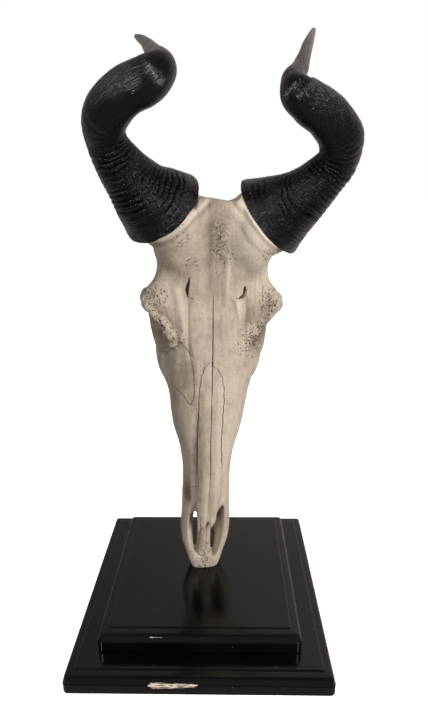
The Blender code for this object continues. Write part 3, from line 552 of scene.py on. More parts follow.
def skull_forms():
    """The skull's bones as plain overlapping forms."""
    forms = [
        section_form("face", FACE, 160),
        section_form("nasals", NASALS, 90),
        section_form("forehead", FOREHEAD, 110),
        blob_form("braincase", (0, 7.8, 38.4), (4.4, 5.2, 3.7), 8),
        blob_form("occiput", (0, 11.5, 38.4), (4.2, 1.7, 3.2), 20),
        bar_form("skull_base", SKULL_BASE),
        bar_form("neck_crest", NECK_CREST),
    ]
    for side, word in SIDES:
        forms += [
            bar_form("orbit_rim_" + word, mirrored(ORBIT_RIM + ORBIT_RIM[:1], side), count=90),
            bar_form("cheek_arch_" + word, mirrored(CHEEK_ARCH, side), count=60),
            bar_form("gum_ridge_" + word, mirrored(GUM_RIDGE, side)),
            bar_form("neck_prong_" + word, mirrored(NECK_PRONG, side)),
            bar_form("throat_plate_" + word, mirrored(THROAT_PLATE, side)),
            blob_form("condyle_" + word, (side * 1.75, 13.4, 37.2), (1.15, 1.0, 1.4)),
            blob_form("bulla_" + word, (side * 2.5, 12.0, 34.9), (0.95, 1.3, 1.3)),
            blob_form("mastoid_" + word, (side * 4.4, 10.8, 37.4), (1.1, 1.5, 1.5)),
            blob_form("temple_" + word, (side * 3.9, 3.75, 39.7), (2.7, 3.95, 4.4)),
            horn_core(side, word),
        ]
    forms.append(blob_form("tear_knob", (-4.80, 2.25, 29.2), (0.85, 0.95, 0.72)))
    forms.append(blob_form("tear_knob_foot", (-4.35, 2.20, 28.3), (0.60, 0.80, 0.60)))
    return forms


FREE_FRONT_CM = -6.0
FREE_BACK_CM = 18.0
FREE_TOP_CM = 60.0
FREE_FOOT_CM = -9.0
FREE_SIDE_CM = 10.0


def wavy_block(name, x, low, high):
    """A block from front to back whose lower and upper faces follow heights given at each x."""
    front, back = np.full(len(x), FREE_FRONT_CM), np.full(len(x), FREE_BACK_CM)
    corners = [(x, front, low), (x, front, high), (x, back, high), (x, back, low)]
    return closed_loft(name, posed(np.stack([np.stack(corner, -1) for corner in corners], 1)))


def skull_hollows():
    """What is taken out of the skull: the nose, the throat, the neck hole, the eye sockets and dents."""
    cuts = [section_form("nose_trough", NOSE_TROUGH, 120), bar_form("throat", THROAT)]
    cuts.append(bar_form("neck_hole", [(0, 11.0, 38.4, 1.0, 1.0), (0, 16.0, 39.6, 1.15, 1.15)], count=6))
    for side, word in SIDES:
        cuts.append(blob_form("socket_" + word, (side * 6.7, 4.9, 30.9), (3.4, 2.8, 2.85), 10))
        cuts.append(blob_form("tear_dent_" + word, (side * 6.1, 3.0, 25.0), (1.35, 1.7, 2.6)))
        cuts.append(nose_notch("nose_notch_" + word, side, NOSE_NOTCH[side]))
    tips = [(z, x0, x1, -3.0, -0.62) for z, x0, x1 in TIP_NOTCH]
    cuts.append(box_form("tip_notch", tips))
    x = np.asarray(CROWN_X_CM)
    cuts.append(wavy_block("crown", x, np.asarray(CROWN_Z_CM), np.full(len(x), FREE_TOP_CM)))
    return cuts


def nose_notch(name, side, rows):
    """An opening in the nose's front with one straight wall and one that slants in from its rim."""
    rings = []
    for z, near, rim, inner, back in smooth_rows(rows, 40):
        corners = ((near, -3.0), (rim, -3.0), (rim, 0.25), (inner, 1.30), (inner, back), (near, back))
        rings.append([(side * x, y, z) for x, y in corners])
    return closed_loft(name, posed(rings))


def nose_slots():
    """The two long slots in the floor of the nose, right through to the palate side."""
    cuts = []
    for side, word in SIDES:
        across, level, half, tall = NOSE_SLOT[side]
        slot = [(side * across, 9.0, level, half, tall), (side * across, 0.2, level, half, tall)]
        cuts.append(bar_form("slot_" + word, slot, count=4))
    return cuts


def lattice_noise(points, size, seed):
    """Random numbers from -1 to 1 on a cubic lattice of that size, blended smoothly between its corners."""
    table = np.random.default_rng(seed).random((32, 32, 32)) * 2 - 1
    q = np.asarray(points, float) / size
    cell = np.floor(q).astype(int)
    t = q - cell
    t = t * t * (3 - 2 * t)
    total = 0.0
    for corner in np.ndindex(2, 2, 2):
        weight = np.prod(np.where(np.array(corner) == 1, t, 1 - t), axis=-1)
        x, y, z = np.moveaxis((cell + corner) % 32, -1, 0)
        total = total + weight * table[x, y, z]
    return total


def line_distance(x, z, line):
    """Signed distance in the face's plane from a line of (x, z) points, and how far past its ends."""
    line = np.asarray(line, float)
    best = np.full(np.shape(x), 1e9)
    signed, past = np.zeros(np.shape(x)), np.zeros(np.shape(x))
    for k, (start, end) in enumerate(zip(line[:-1], line[1:])):
        step = end - start
        length = np.hypot(*step)
        raw = ((x - start[0]) * step[0] + (z - start[1]) * step[1]) / length
        t = np.clip(raw, 0, length)
        dx, dz = x - start[0] - step[0] * t / length, z - start[1] - step[1] * t / length
        away = np.hypot(dx, dz)
        side = np.sign((x - start[0]) * step[1] - (z - start[1]) * step[0])
        over = np.maximum(-raw, 0) if k == 0 else np.zeros(np.shape(x))
        over = np.maximum(over, raw - length) if k == len(line) - 2 else over
        nearer = away < best
        best, signed = np.where(nearer, away, best), np.where(nearer, away * side, signed)
        past = np.where(nearer, over, past)
    return signed, past


def ease(at, reach):
    """From 0 at the start to 1 at the reach, gently at both ends."""
    t = np.clip(at / reach, 0.0, 1.0)
    return t * t * (3 - 2 * t)


def bell(value, width):
    """A bell curve: e to the power of minus the square of the value over its width."""
    return np.exp(-(value / width) ** 2)


def soft_patch(front, x, z, at_x, at_z, wide, tall, amount):
    """A soft-edged oval on the face about a place, as strong as its amount."""
    return front * amount * bell(x - at_x, wide) * bell(z - at_z, tall)


# Ridges and grooves of the face: (x, z) points, half width and height; below zero is a groove.
FACE_LINES = [
    ([(-4.05, 34.3), (-3.6, 32.6), (-3.3, 31.0), (-3.25, 29.6), (-3.35, 28.6)], 0.46, 0.19),
    ([(-2.69, 33.4), (-2.74, 32.7), (-2.84, 31.0), (-2.86, 29.8), (-2.8, 28.3),
     (-2.55, 27.0)], 0.26, -0.2),
    ([(2.38, 33.4), (2.74, 32.2), (2.94, 31.3), (3.0, 29.6)], 0.24, 0.18),
    ([(3.42, 33.4), (3.58, 32.2), (3.54, 31.0), (3.46, 29.9)], 0.3, -0.26),
    ([(4.1, 33.6), (4.15, 32.4), (4.05, 31.4)], 0.4, 0.12),
    ([(-0.85, 43.0), (-0.85, 40.8), (-0.72, 37.7), (-0.65, 34.5)], 0.42, -0.12),
    ([(1.3, 38.0), (1.38, 36.1), (1.4, 34.5), (1.3, 33.0)], 0.32, 0.2),
    ([(-3.6, 27.4), (-3.3, 25.4), (-3.05, 23.2)], 0.75, -0.14),
    ([(-1.95, 26.4), (-1.7, 24.5), (-1.65, 22.5)], 0.28, 0.08),
    ([(0.17, 13.0), (0.15, 10.0), (0.13, 6.8)], 0.2, -0.14),
    ([(-1.55, 20.0), (-1.6, 16.0), (-1.5, 12.0), (-1.25, 9.6)], 0.3, -0.16),
    ([(1.75, 20.0), (1.8, 16.0), (1.85, 12.0), (1.9, 9.6)], 0.24, -0.07),
    ([(-0.75, 23.0), (-0.72, 17.0), (-0.6, 12.0), (-0.35, 8.0)], 0.32, 0.1),
    ([(0.82, 23.0), (0.85, 17.0), (0.9, 12.0), (0.85, 8.5)], 0.36, 0.13),
    ([(-2.1, 9.0), (-2.22, 7.0), (-2.22, 5.0), (-2.02, 2.6)], 0.14, 0.06),
]
# Swellings and hollows of the face: x, z, half width, half height and how far out.
FACE_LUMPS = [
    (2.95, 40.3, 1.5, 1.8, 0.1), (4.7, 38.9, 1.2, 1.3, 0.08), (-2.6, 39.6, 1.5, 2.2, 0.08),
    (5.6, 33.2, 0.9, 0.8, 0.14), (-5.45, 33.2, 1.1, 0.9, 0.1), (-4.85, 29.3, 0.5, 0.55, 0.26),
    (-4.25, 28.9, 0.4, 0.4, 0.16), (-4.6, 28.1, 0.45, 0.4, 0.18), (4.8, 29.2, 0.6, 0.7, 0.16),
    (4.1, 28.0, 0.5, 0.5, 0.14), (0.6, 29.5, 1.2, 2.5, 0.06), (-1.2, 30.5, 0.8, 2.2, 0.06),
    (0.4, 8.6, 0.5, 1.2, 0.03), (-0.9, 1.1, 0.55, 0.55, 0.14), (1.0, 1.0, 0.5, 0.6, 0.08),
]


def rim_distance(points):
    """The distance in centimetres to the nearer eye socket's front rim."""
    best = np.full(len(points), 1e9)
    for side, _ in SIDES:
        rim = smooth_path(mirrored(ORBIT_RIM[:8], side), 40)[:, :3]
        for place in rim:
            best = np.minimum(best, np.linalg.norm(points - place, axis=1))
    return best


# How far out from the horn's axis its foot still tells, in radii of the foot, and the fade before that.
FOOT_REACH = 1.45
FOOT_FADE = 0.25


def near_foot(points, side):
    """Each place's height along the horn above its foot, and how near it is: 1 at the foot, 0 far off."""
    seat, radius, axis = horn_seat(side)
    away = points - seat
    height = away @ axis
    share = np.linalg.norm(away - height[:, None] * axis, axis=1) / radius
    return height, ease(FOOT_REACH - share, FOOT_FADE)


def relief(points, facing):
    """How far each place of the bone stands out: ridges, lumps and grooves of the face, and roughness."""
    x, y, z = points.T
    front = np.clip(facing * 1.6, 0, 1) * (y < 4.5)
    out = np.zeros(len(points))
    for line, width, height in FACE_LINES:
        signed, past = line_distance(x, z, line)
        out += front * height * bell(signed, width) * bell(past, 1.0)
    for lump in FACE_LUMPS:
        out += soft_patch(front, x, z, *lump)
    wrinkled = front * bell(x - 0.30, 0.75) * bell(z - 40.0, 1.9)
    wavy = lattice_noise(points * (1.0, 1.0, 1.9), 0.36, 4)
    out += wrinkled * 0.06 * wavy
    nose_end = front * bell(x + 1.2, 1.3) * bell(z - 1.1, 1.5)
    out += nose_end * (0.09 * lattice_noise(points, 0.42, 9) + 0.05 * lattice_noise(points, 0.18, 10))
    porous = bell(rim_distance(points), 0.95)
    pits = np.clip(lattice_noise(points, 0.34, 7) - 0.05, 0, 1)
    out += porous * (0.10 * lattice_noise(points, 0.8, 6) - 0.26 * pits)
    out += 0.045 * lattice_noise(points, 2.4, 1) + 0.022 * lattice_noise(points, 0.9, 2)
    out += 0.010 * lattice_noise(points, 0.4, 3)
    for side, _ in SIDES:
        height, near = near_foot(points, side)
        round_foot = near * np.clip(facing * 2, 0, 1)
        out += round_foot * (0.12 * bell(height + 1.10, 0.45) - 0.06 * bell(height + 0.42, 0.12))
    return out * np.clip((z - 0.2) / 0.8, 0, 1)


# The forehead swells towards each horn: middle x and z, how far forward it comes, and its spread.
HORN_SWELLS = [(3.9, 40.2, -1.15, 0.16), (-3.9, 40.5, -0.95, 0.18)]
SWELL_BLEND_CM = 0.26
SWELL_MOST_CM = 0.9


def swollen(points, facing):
    """How far each place moves forward to meet the bowls before the horns, blended by a soft maximum."""
    x, y, z = points.T
    out = np.zeros(len(points))
    for at_x, at_z, ahead, spread in HORN_SWELLS:
        wanted = ahead + spread * ((x - at_x) ** 2 + (z - at_z) ** 2)
        behind = np.clip((y - wanted) / SWELL_BLEND_CM, -20, 20)
        forward = np.minimum(SWELL_BLEND_CM * np.log1p(np.exp(behind)), SWELL_MOST_CM)
        out += forward * bell(np.maximum(y - 1.2, 0), 0.6)
    return out * np.clip(facing * 2.5 - 0.4, 0, 1)


def coordinates(mesh, word="co"):
    """The places, or for the word normal the normals, of a mesh's points as rows."""
    rows = np.empty(len(mesh.vertices) * 3)
    mesh.vertices.foreach_get(word, rows)
    return rows.reshape(-1, 3)


def carve(body):
    """Moves each point of the bone along its normal by the relief at its place."""
    places, normals = coordinates(body.data), coordinates(body.data, "normal")
    frame_places = unposed(places)
    frame_places[:, 1] -= swollen(frame_places, -normals[:, 1])
    places = posed(frame_places)
    offset = relief(frame_places, -normals[:, 1])
    body.data.vertices.foreach_set("co", (places + normals * (offset * CM)[:, None]).ravel())
    body.data.update()


def wander(at, seed, reach):
    """A small irregular line: sines of three lengths, in the skull's centimetres."""
    a, b, c = seed * 1.7, seed * 2.9, seed * 0.6
    return reach * (0.5 * np.sin(at * 2.1 + a) + 0.3 * np.sin(at * 5.3 + b) + 0.2 * np.sin(at * 11.9 + c))


# Grooves that stay closed as fine dark lines on the bone: (x, z) points, half width and depth.
LACRIMAL_LEFT = [
    (-3.6, 28.6), (-3.43, 28.46), (-2.98, 27.87), (-2.67, 27.53), (-2.46, 26.76), (-2.19, 25.44),
    (-2.06, 24.27), (-1.95, 23.34), (-1.96, 22.5), (-2.05, 21.95), (-2.26, 21.4), (-2.65, 21.65),
    (-3.11, 22.4), (-3.8, 22.85), (-4.5, 23.36),
]
GROOVES = [
    (LACRIMAL_LEFT, 0.020, 0.12),
    ([(-3.08, 24.3), (-3.04, 23.5), (-2.98, 22.8)], 0.020, 0.06),
    ([(1.54, 22.76), (1.71, 22.17), (2.11, 21.45)], 0.022, 0.08),
    ([(2.65, 22.90), (2.78, 21.95)], 0.018, 0.05),
    ([(3.60, 22.85), (4.16, 23.40)], 0.022, 0.06),
    ([(0.10, 38.2), (0.02, 37.6), (0.12, 36.7), (0.17, 35.2)], 0.016, 0.05),
    ([(5.44, 35.0), (5.40, 34.2), (5.43, 33.3)], 0.026, 0.10),
    ([(-5.95, 31.2), (-5.60, 30.5), (-5.28, 29.8)], 0.060, 0.40),
    ([(-5.60, 26.6), (-5.08, 26.85), (-4.57, 27.55), (-4.06, 28.05)], 0.040, 0.16),
    ([(0.30, 13.15), (0.90, 13.02), (1.60, 13.08)], 0.008, 0.02),
    ([(-2.48, 11.4), (-2.30, 10.8), (-2.46, 10.2), (-2.30, 9.7)], 0.022, 0.08),
    ([(-2.16, 11.1), (-2.22, 10.4), (-2.06, 9.8), (-2.16, 9.2)], 0.020, 0.07),
]
GROOVE_STEP_CM = 0.09


def surface_front(places, x, z):
    """The front surface's y at each (x, z), read from the nearest of the body's points."""
    found = []
    for at_x, at_z in zip(x, z):
        away = np.hypot(places[:, 0] - at_x, places[:, 2] - at_z)
        close = away < 0.20
        found.append(places[close, 1].min())
    return np.asarray(found)


def groove_cutter(name, places, line, half, depth, seed):
    """A thin ribbon that follows a line over the face and reaches a little below its surface."""
    line = np.asarray(line, float)
    run = np.concatenate([[0], np.cumsum(np.hypot(*np.diff(line, axis=0).T))])
    at = np.linspace(0, run[-1], max(4, int(run[-1] / GROOVE_STEP_CM)))
    x, z = np.interp(at, run, line[:, 0]), np.interp(at, run, line[:, 1])
    slope = unit(np.stack([np.gradient(x), np.gradient(z)], -1))
    side = np.stack([slope[:, 1], -slope[:, 0]], -1)
    x = x + side[:, 0] * wander(at * 2.3, seed, 0.09)
    z = z + side[:, 1] * wander(at * 2.3, seed, 0.09)
    front = surface_front(places, x, z)
    taper = 0.55 + 0.45 * np.sin(pi * np.linspace(0.04, 0.96, len(at)))
    width = half * taper * (1 + wander(at * 3.0, seed + 4, 0.5))
    outline = [(-1, -1.5, 1.0), (1, -1.5, 1.0), (1, 0.0, 1.0)]
    outline += [(1, depth, 0.35), (-1, depth, 0.35), (-1, 0.0, 1.0)]
    corners = []
    for sign, reach, grow in outline:
        shift = sign * side * width[:, None] * grow
        corners.append(np.stack([x + shift[:, 0], front + reach, z + shift[:, 1]], -1))
    return closed_loft(name, posed(np.stack(corners, 1)))


CRACK_TOP_CM = 34.0
NASAL_TIP_CM = 6.2
NASAL_TOP_CM = 26.5
NASAL_THICKNESS_CM = 0.45


def mid_line(z):
    """How far the joint in the middle of the face wanders to the side at a height."""
    return np.interp(z, (6.0, 13.0, 20.4, 26.0, 34.5), (0.0, 0.24, 0.12, -0.07, 0.0)) + wander(z, 8, 0.02)


def crack_half(z):
    """Half the width of the open joint down the face: a hair at its top, widest above the nasals."""
    return np.interp(z, (6.0, 12.8, 13.4, 17.0, 22.0, 24.0, 26.0, 30.0, 33.0, 34.0),
                     (0.012, 0.014, 0.038, 0.042, 0.026, 0.032, 0.058, 0.055, 0.034, 0.008))


def side_crack_half(z):
    """Half the width of the joints beside the nasals: closed below, open above, a hair at the top."""
    return np.interp(z, (6.0, 13.6, 14.0, 17.0, 21.0, 23.0, 24.0, 27.0),
                     (0.012, 0.012, 0.052, 0.046, 0.040, 0.032, 0.024, 0.024))


# Small holes in the bone for nerves and vessels: x, z, radius and depth.
PIN_HOLES = [
    (-2.27, 33.38, 0.11, 0.5), (-2.98, 37.07, 0.13, 0.6), (2.54, 33.52, 0.13, 0.5),
    (5.47, 38.84, 0.07, 0.3), (5.55, 38.22, 0.07, 0.3), (-2.95, 36.85, 0.08, 0.3),
    (6.93, 32.68, 0.15, 0.5), (6.56, 32.09, 0.16, 0.5), (6.2, 31.65, 0.13, 0.4), (5.08, 30.24, 0.15, 0.6),
    (5.31, 29.45, 0.17, 0.6), (5.22, 28.8, 0.13, 0.5), (4.45, 30.0, 0.09, 0.3), (3.95, 28.7, 0.1, 0.3),
    (-6.9, 32.6, 0.1, 0.4), (-6.55, 31.9, 0.12, 0.4), (-6.1, 31.35, 0.12, 0.4), (-7.05, 33.4, 0.09, 0.3),
    (-3.95, 28.3, 0.09, 0.3), (-4.4, 29.9, 0.08, 0.3), (0.35, 2.9, 0.07, 0.3), (0.25, 2.2, 0.06, 0.3),
    (-0.25, 0.55, 0.09, 0.4), (0.42, 0.6, 0.09, 0.4),
]
# The two holes above the eyes: height, middle and half width, a slit on the left and a hook on the right.
BROW_HOLES = [
    [(33.45, -2.72, 0.02), (33.9, -2.78, 0.11), (34.4, -2.84, 0.23), (34.9, -2.76, 0.21),
     (35.3, -2.66, 0.11), (35.8, -2.62, 0.02)],
    [(33.3, 2.84, 0.06), (33.52, 3.0, 0.34), (33.8, 3.2, 0.32), (34.05, 3.38, 0.19), (34.5, 3.42, 0.2),
     (34.95, 3.38, 0.05)],
]


def fine_cuts(places):
    """Holes for nerves, sutures, the crack down the forehead and the flats that the skull rests by."""
    heights = np.linspace(NASAL_TOP_CM - 0.7, CRACK_TOP_CM, 60)
    crack = [(z, mid_line(z) - crack_half(z), mid_line(z) + crack_half(z), -1.0, 1.6) for z in heights]
    cuts = [box_form("crack", crack)]
    for rows in BROW_HOLES:
        cuts.append(box_form("brow_hole", [(z, x - half, x + half, -1.0, 2.9) for z, x, half in rows]))
    holes = np.asarray(PIN_HOLES)
    for (x, z, radius, depth), front in zip(PIN_HOLES, surface_front(places, holes[:, 0], holes[:, 1])):
        mouth = (x, front - 0.8, z - 0.1, radius, radius)
        end = (x, front + depth, z + 0.1, radius * 0.7, radius * 0.7)
        cuts.append(bar_form("pin_hole", [mouth, end], count=2, sides=12))
    for k, (line, half, depth) in enumerate(GROOVES):
        cuts.append(groove_cutter("groove", places, line, half, depth, k))
    for side, word in SIDES:
        cheek = [(side * 4.2, 4.2, 13.0, 0.3, 0.5), (side * 1.9, 4.6, 14.6, 0.2, 0.3)]
        cuts.append(bar_form("cheek_hole_" + word, cheek, count=8, sides=16))
        seat, radius, axis = horn_seat(side)
        wide = radius + SEAT_MARGIN_CM
        ends = (seat - axis * BOARD_GAP / CM, seat + axis * SEAT_DEPTH_CM)
        cuts.append(bar_form("seat_cut_" + word, [(*end, wide, wide) for end in ends], count=2, sides=48))
    corners = [(REST_HALF * x, REST_HALF * y) for x, y in ((-1, -1), (1, -1), (1, 1), (-1, 1))]
    floor_level = UPPER_TOP + BOARD_GAP
    levels = (floor_level - REST_DEPTH, floor_level)
    cuts.append(closed_loft("rest_cut", [[(x, y, z) for x, y in corners] for z in levels]))
    return cuts


def whole_skull():
    """The skull in one piece: its forms are joined, hollowed, smoothed, carved and cut."""
    body = fused("whole_skull", skull_forms())
    boolean(body, skull_hollows(), "DIFFERENCE")
    body = fused("whole_skull", [body, bar_form("nose_floor", NOSE_FLOOR)])
    boolean(body, nose_slots(), "DIFFERENCE")
    reshape(body, "REMESH", mode="VOXEL", voxel_size=BONE_VOXEL)
    reshape(body, "SMOOTH", factor=0.5, iterations=6)
    carve(body)
    for cut in fine_cuts(unposed(coordinates(body.data))):
        boolean(body, [cut], "DIFFERENCE")
    return body


def nasal_roof(z):
    """The front surface of the nasal bones along the middle."""
    stations = np.asarray(NASALS)
    return np.interp(z, stations[:, 0], stations[:, 2])


# The left and right edges of the nasal bones: height and place to the side.
NASAL_LEFT = [
    (6.2, -0.72), (6.9, -0.84), (8.0, -0.86), (10.0, -0.95), (12.0, -1.15), (14.0, -1.37), (15.5, -1.34),
    (17.3, -1.35), (21.1, -1.35), (23.1, -1.4), (24.0, -1.32), (24.73, -1.23), (25.3, -1.1), (25.7, -1.0),
    (26.0, -0.85), (26.17, -0.6), (26.37, -0.45), (26.5, -0.2), (26.57, -0.07),
]
NASAL_RIGHT = [
    (6.2, 0.62), (6.5, 0.76), (7.2, 1.08), (7.9, 1.42), (8.4, 1.68), (8.65, 1.84), (9.5, 1.85),
    (11.0, 1.78), (13.0, 1.66), (13.9, 1.62), (16.1, 1.47), (17.8, 1.4), (19.3, 1.48), (20.4, 1.45),
    (21.7, 1.52), (22.5, 1.44), (23.4, 1.37), (24.2, 1.18), (24.9, 1.02), (25.35, 0.82), (25.66, 0.53),
    (26.04, -0.03),
]
NASAL_TOPS_CM = {-1: 26.45, 0: 26.5, 1: 25.95}


def nasal_edges(z):
    """The left and right edges of the nasal bones at a height, with their small irregularities."""
    left, right = np.asarray(NASAL_LEFT), np.asarray(NASAL_RIGHT)
    rough = np.interp(z, (6.0, 9.0, 20.0, 24.0), (0.01, 0.04, 0.05, 0.09))
    left = np.interp(z, left[:, 0], left[:, 1]) + wander(z * 2.3, 3, 1.0) * rough
    right = np.interp(z, right[:, 0], right[:, 1]) + wander(z * 2.3, 5, 1.0) * rough
    return np.minimum(left, mid_line(z) - 0.06), np.maximum(right, mid_line(z) + 0.06)


def nasal_block(name, side, way):
    """The space of one nasal bone, or for side 0 of both; way is 1 inside the gap and -1 outside it."""
    main, top = np.linspace(NASAL_TIP_CM, 23.0, 150), np.linspace(23.05, NASAL_TOPS_CM[side], 70)
    rows = []
    for z in np.concatenate([main, top]):
        inset, mid_inset = way * side_crack_half(z), way * crack_half(z)
        edges = nasal_edges(z)
        left, middle, right = edges[0] + inset, mid_line(z), edges[1] - inset
        ends = {0: (left, right), 1: (middle + mid_inset, right), -1: (left, middle - mid_inset)}[side]
        rows.append((z, *ends, FREE_FRONT_CM, nasal_roof(z) + NASAL_THICKNESS_CM - inset))
    return box_form(name, rows)


SUTURE_X_CM = (1.40, 2.15, 2.60, 3.00, 3.60, 4.40, 6.00)
SUTURE_Z_CM = (21.80, 21.25, 21.50, 22.10, 22.30, 22.80, 23.60)


def suture_height(x):
    """Where the jaw bones end and the cranium begins: lowest a little beside the nasals."""
    return np.interp(np.abs(x), SUTURE_X_CM, SUTURE_Z_CM) + wander(x * 3, 5, 0.04)


# The heights of the slanting joint behind the nose's end, at the free front and at the free back.
NOSE_END_FRONT_CM = 16.5
NOSE_END_BACK_CM = -5.1


def nose_end_block(name, side, shift):
    """The space below the slanting joint between the premaxilla and the maxilla."""
    x0, x1 = -side, side * FREE_SIDE_CM
    rings = []
    for y, z in ((FREE_FRONT_CM, NOSE_END_FRONT_CM + shift), (FREE_BACK_CM, NOSE_END_BACK_CM + shift)):
        rings.append([(x0, y, FREE_FOOT_CM), (x1, y, FREE_FOOT_CM), (x1, y, z), (x0, y, z)])
    return closed_loft(name, posed(rings))


# Cheek teeth from the nose backward: name, length along the row and width.
TEETH = [
    ('P2', 0.9, 0.85), ('P3', 1.1, 1.0), ('P4', 1.15, 1.15), ('M1', 1.65, 1.3), ('M2', 2.05, 1.4),
    ('M3', 2.15, 1.35),
]
ROW_START_CM = 12.4
ROW_LENGTH_CM = 9.0
# Share of the way from the root to the crown and how wide the tooth is there.
TOOTH_STEPS = ((0.0, 0.85), (0.4, 0.96), (0.8, 1.0), (0.95, 0.96), (1.0, 0.80), (0.96, 0.45), (0.93, 0.2))


def tooth_form(name, side, z, length, width):
    """A cheek tooth: a squarish prism that ends in a low crown, with its root sunk in the jaw."""
    share = (z - ROW_START_CM) / ROW_LENGTH_CM
    across = side * (2.35 + 0.90 * share)
    root, crown = 5.45 + 3.0 * share, 7.00 + 3.55 * share
    turn = np.linspace(0, 2 * pi, 48, endpoint=False)
    c, s = rounded(turn, 3.4)
    rings = []
    for depth, grow in TOOTH_STEPS:
        y = root + (crown - root) * depth
        folds = grow * (1 - 0.05 * np.cos(4 * turn) * (depth < 0.96))
        level = z - 0.25 * depth + length / 2 * s * folds
        rings.append(np.stack([across + width / 2 * c * folds, np.full(len(c), y), level], -1))
    return closed_loft(name, posed(rings))


def tooth_row(side, word):
    """The cheek teeth of one side, one after another from the nose backward."""
    teeth = []
    z = ROW_START_CM
    for name, length, width in TEETH:
        teeth.append(tooth_form(name + "_" + word, side, z + length / 2, length * 1.02, width))
        z += length
    return teeth


def keep_largest(body):
    """Keeps only the closed surface with the most points, which drops scraps and sealed hollows."""
    count = len(body.data.vertices)
    ends = np.empty(len(body.data.edges) * 2, np.int64)
    body.data.edges.foreach_get("vertices", ends)
    ends = ends.reshape(-1, 2)
    label, before = np.arange(count), None
    while before is None or (before != label).any():
        before = label.copy()
        low = np.minimum(label[ends[:, 0]], label[ends[:, 1]])
        np.minimum.at(label, ends[:, 0], low)
        np.minimum.at(label, ends[:, 1], low)
        label = label[label]
    names, sizes = np.unique(label, return_counts=True)
    best = names[sizes.argmax()]
    work = bmesh.new()
    work.from_mesh(body.data)
    work.verts.ensure_lookup_table()
    bmesh.ops.delete(work, geom=[work.verts[k] for k in np.nonzero(label != best)[0]], context="VERTS")
    work.to_mesh(body.data)
    work.free()


def parted_bones():
    """Parts the whole skull along its sutures: each bone with the name of the CAD node it stands for."""
    whole = whole_skull()
    bones = []
    rest = copy_of(whole, "rest")
    boolean(rest, [nasal_block("nasal_space", 0, -1)], "DIFFERENCE")
    for side, word in SIDES:
        nasal = copy_of(whole, "bone_nasal_" + word)
        boolean(nasal, [nasal_block("nasal_block", side, 1)], "INTERSECT")
        bones.append((nasal, "nasal_" + word))
    half = np.concatenate([[HAIRLINE_CM], np.linspace(0.1, FREE_SIDE_CM, 160)])
    x = np.concatenate([-half[::-1], half])
    cranium = copy_of(rest, "bone_cranium")
    top = np.full(len(x), FREE_TOP_CM)
    boolean(cranium, [wavy_block("upper", x, suture_height(x) + HAIRLINE_CM, top)], "INTERSECT")
    bones.append((cranium, "cranium"))
    for side, word in SIDES:
        x = side * half
        jaw = copy_of(rest, "bone_maxilla_" + word)
        foot = np.full(len(x), FREE_FOOT_CM)
        boolean(jaw, [wavy_block("lower", x, foot, suture_height(x) - HAIRLINE_CM)], "INTERSECT")
        nose_end = copy_of(jaw, "bone_premaxilla_" + word)
        boolean(nose_end, [nose_end_block("nose_end", side, -HAIRLINE_CM)], "INTERSECT")
        boolean(jaw, [nose_end_block("nose_end", side, HAIRLINE_CM)], "DIFFERENCE")
        boolean(jaw, tooth_row(side, word), "UNION")
        bones += [(jaw, "maxilla_" + word), (nose_end, "premaxilla_" + word)]
    drop([whole, rest])
    for bone, _ in bones:
        keep_largest(bone)
    return bones


# Stains on the face, which also paint the shade where the face turns from the light, chiefly on its left
# side: x, z, half width, half height and strength; below zero is paler bone and painted highlights on
# ridges and the lit right side.
STAINS_SHADE_AND_HIGHLIGHTS = [
    (-0.8, 40.0, 0.5, 4.5, 0.5), (0.25, 40.2, 0.85, 2.2, 0.55), (-0.4, 43.6, 2.5, 0.7, 0.5),
    (-3.1, 25.2, 0.9, 1.9, 0.3), (-4.3, 21.0, 1.5, 4.0, 0.3), (-1.62, 17.0, 0.4, 5.0, 0.3),
    (-0.75, 15.5, 0.6, 6.5, 0.6), (-2.35, 10.4, 0.35, 1.2, 1.3), (-2.0, 9.6, 0.25, 0.9, 0.6),
    (-6.3, 35.2, 0.9, 1.2, 0.4), (-4.0, 36.2, 1.6, 1.0, 0.5), (4.0, 35.8, 1.5, 0.6, 0.3),
    (4.3, 32.2, 0.5, 1.4, 0.45), (4.6, 28.4, 0.9, 0.8, 0.45), (5.9, 32.9, 1.2, 1.3, 0.5),
    (-5.6, 29.0, 0.6, 2.2, 0.6), (5.7, 29.6, 0.45, 1.6, 0.6), (0.7, 29.2, 1.3, 2.2, 0.35),
    (0.4, 35.2, 1.0, 1.1, 0.2), (0.0, 0.0, 3.0, 0.35, 0.45), (-2.1, 1.6, 0.4, 1.3, 0.55),
    (1.9, 1.7, 0.3, 1.0, 0.3), (2.9, 40.0, 1.5, 1.9, -0.7), (4.8, 38.6, 0.9, 0.9, -0.45),
    (1.38, 36.0, 0.3, 1.8, -0.75), (-3.6, 32.0, 0.4, 1.8, -0.75), (2.8, 32.0, 0.28, 1.6, -0.6),
    (5.3, 33.4, 0.6, 0.5, -0.45), (0.95, 17.0, 0.4, 6.0, -0.3), (2.6, 20.0, 0.9, 5.0, -0.2),
    (2.4, 12.0, 0.7, 5.0, -0.35), (-2.15, 5.5, 0.22, 3.2, -0.6), (-1.0, 1.1, 0.4, 0.5, -0.6),
]
# Places rubbed pale, and painted highlights on the bulge beside the right horn and on the ridges above
# the eyes: x, z, half width, half height and strength.
PALE_AND_HIGHLIGHT_PLACES = [
    (3.5, 39.3, 1.5, 2.0, 0.75), (4.8, 37.4, 0.9, 0.9, 0.35), (1.38, 36.0, 0.28, 1.6, 0.45),
    (-3.6, 32.0, 0.3, 1.6, 0.4), (2.75, 31.8, 0.24, 1.5, 0.45), (-1.2, 1.2, 0.7, 0.9, 0.45),
    (-2.15, 5.5, 0.2, 3.0, 0.45),
]
# Joints beside which the bone is darkened by old dirt: (x, z) lines with their strength.
DIRTY_LINES = [(line, min(0.85, depth * 7)) for line, _, depth in GROOVES]
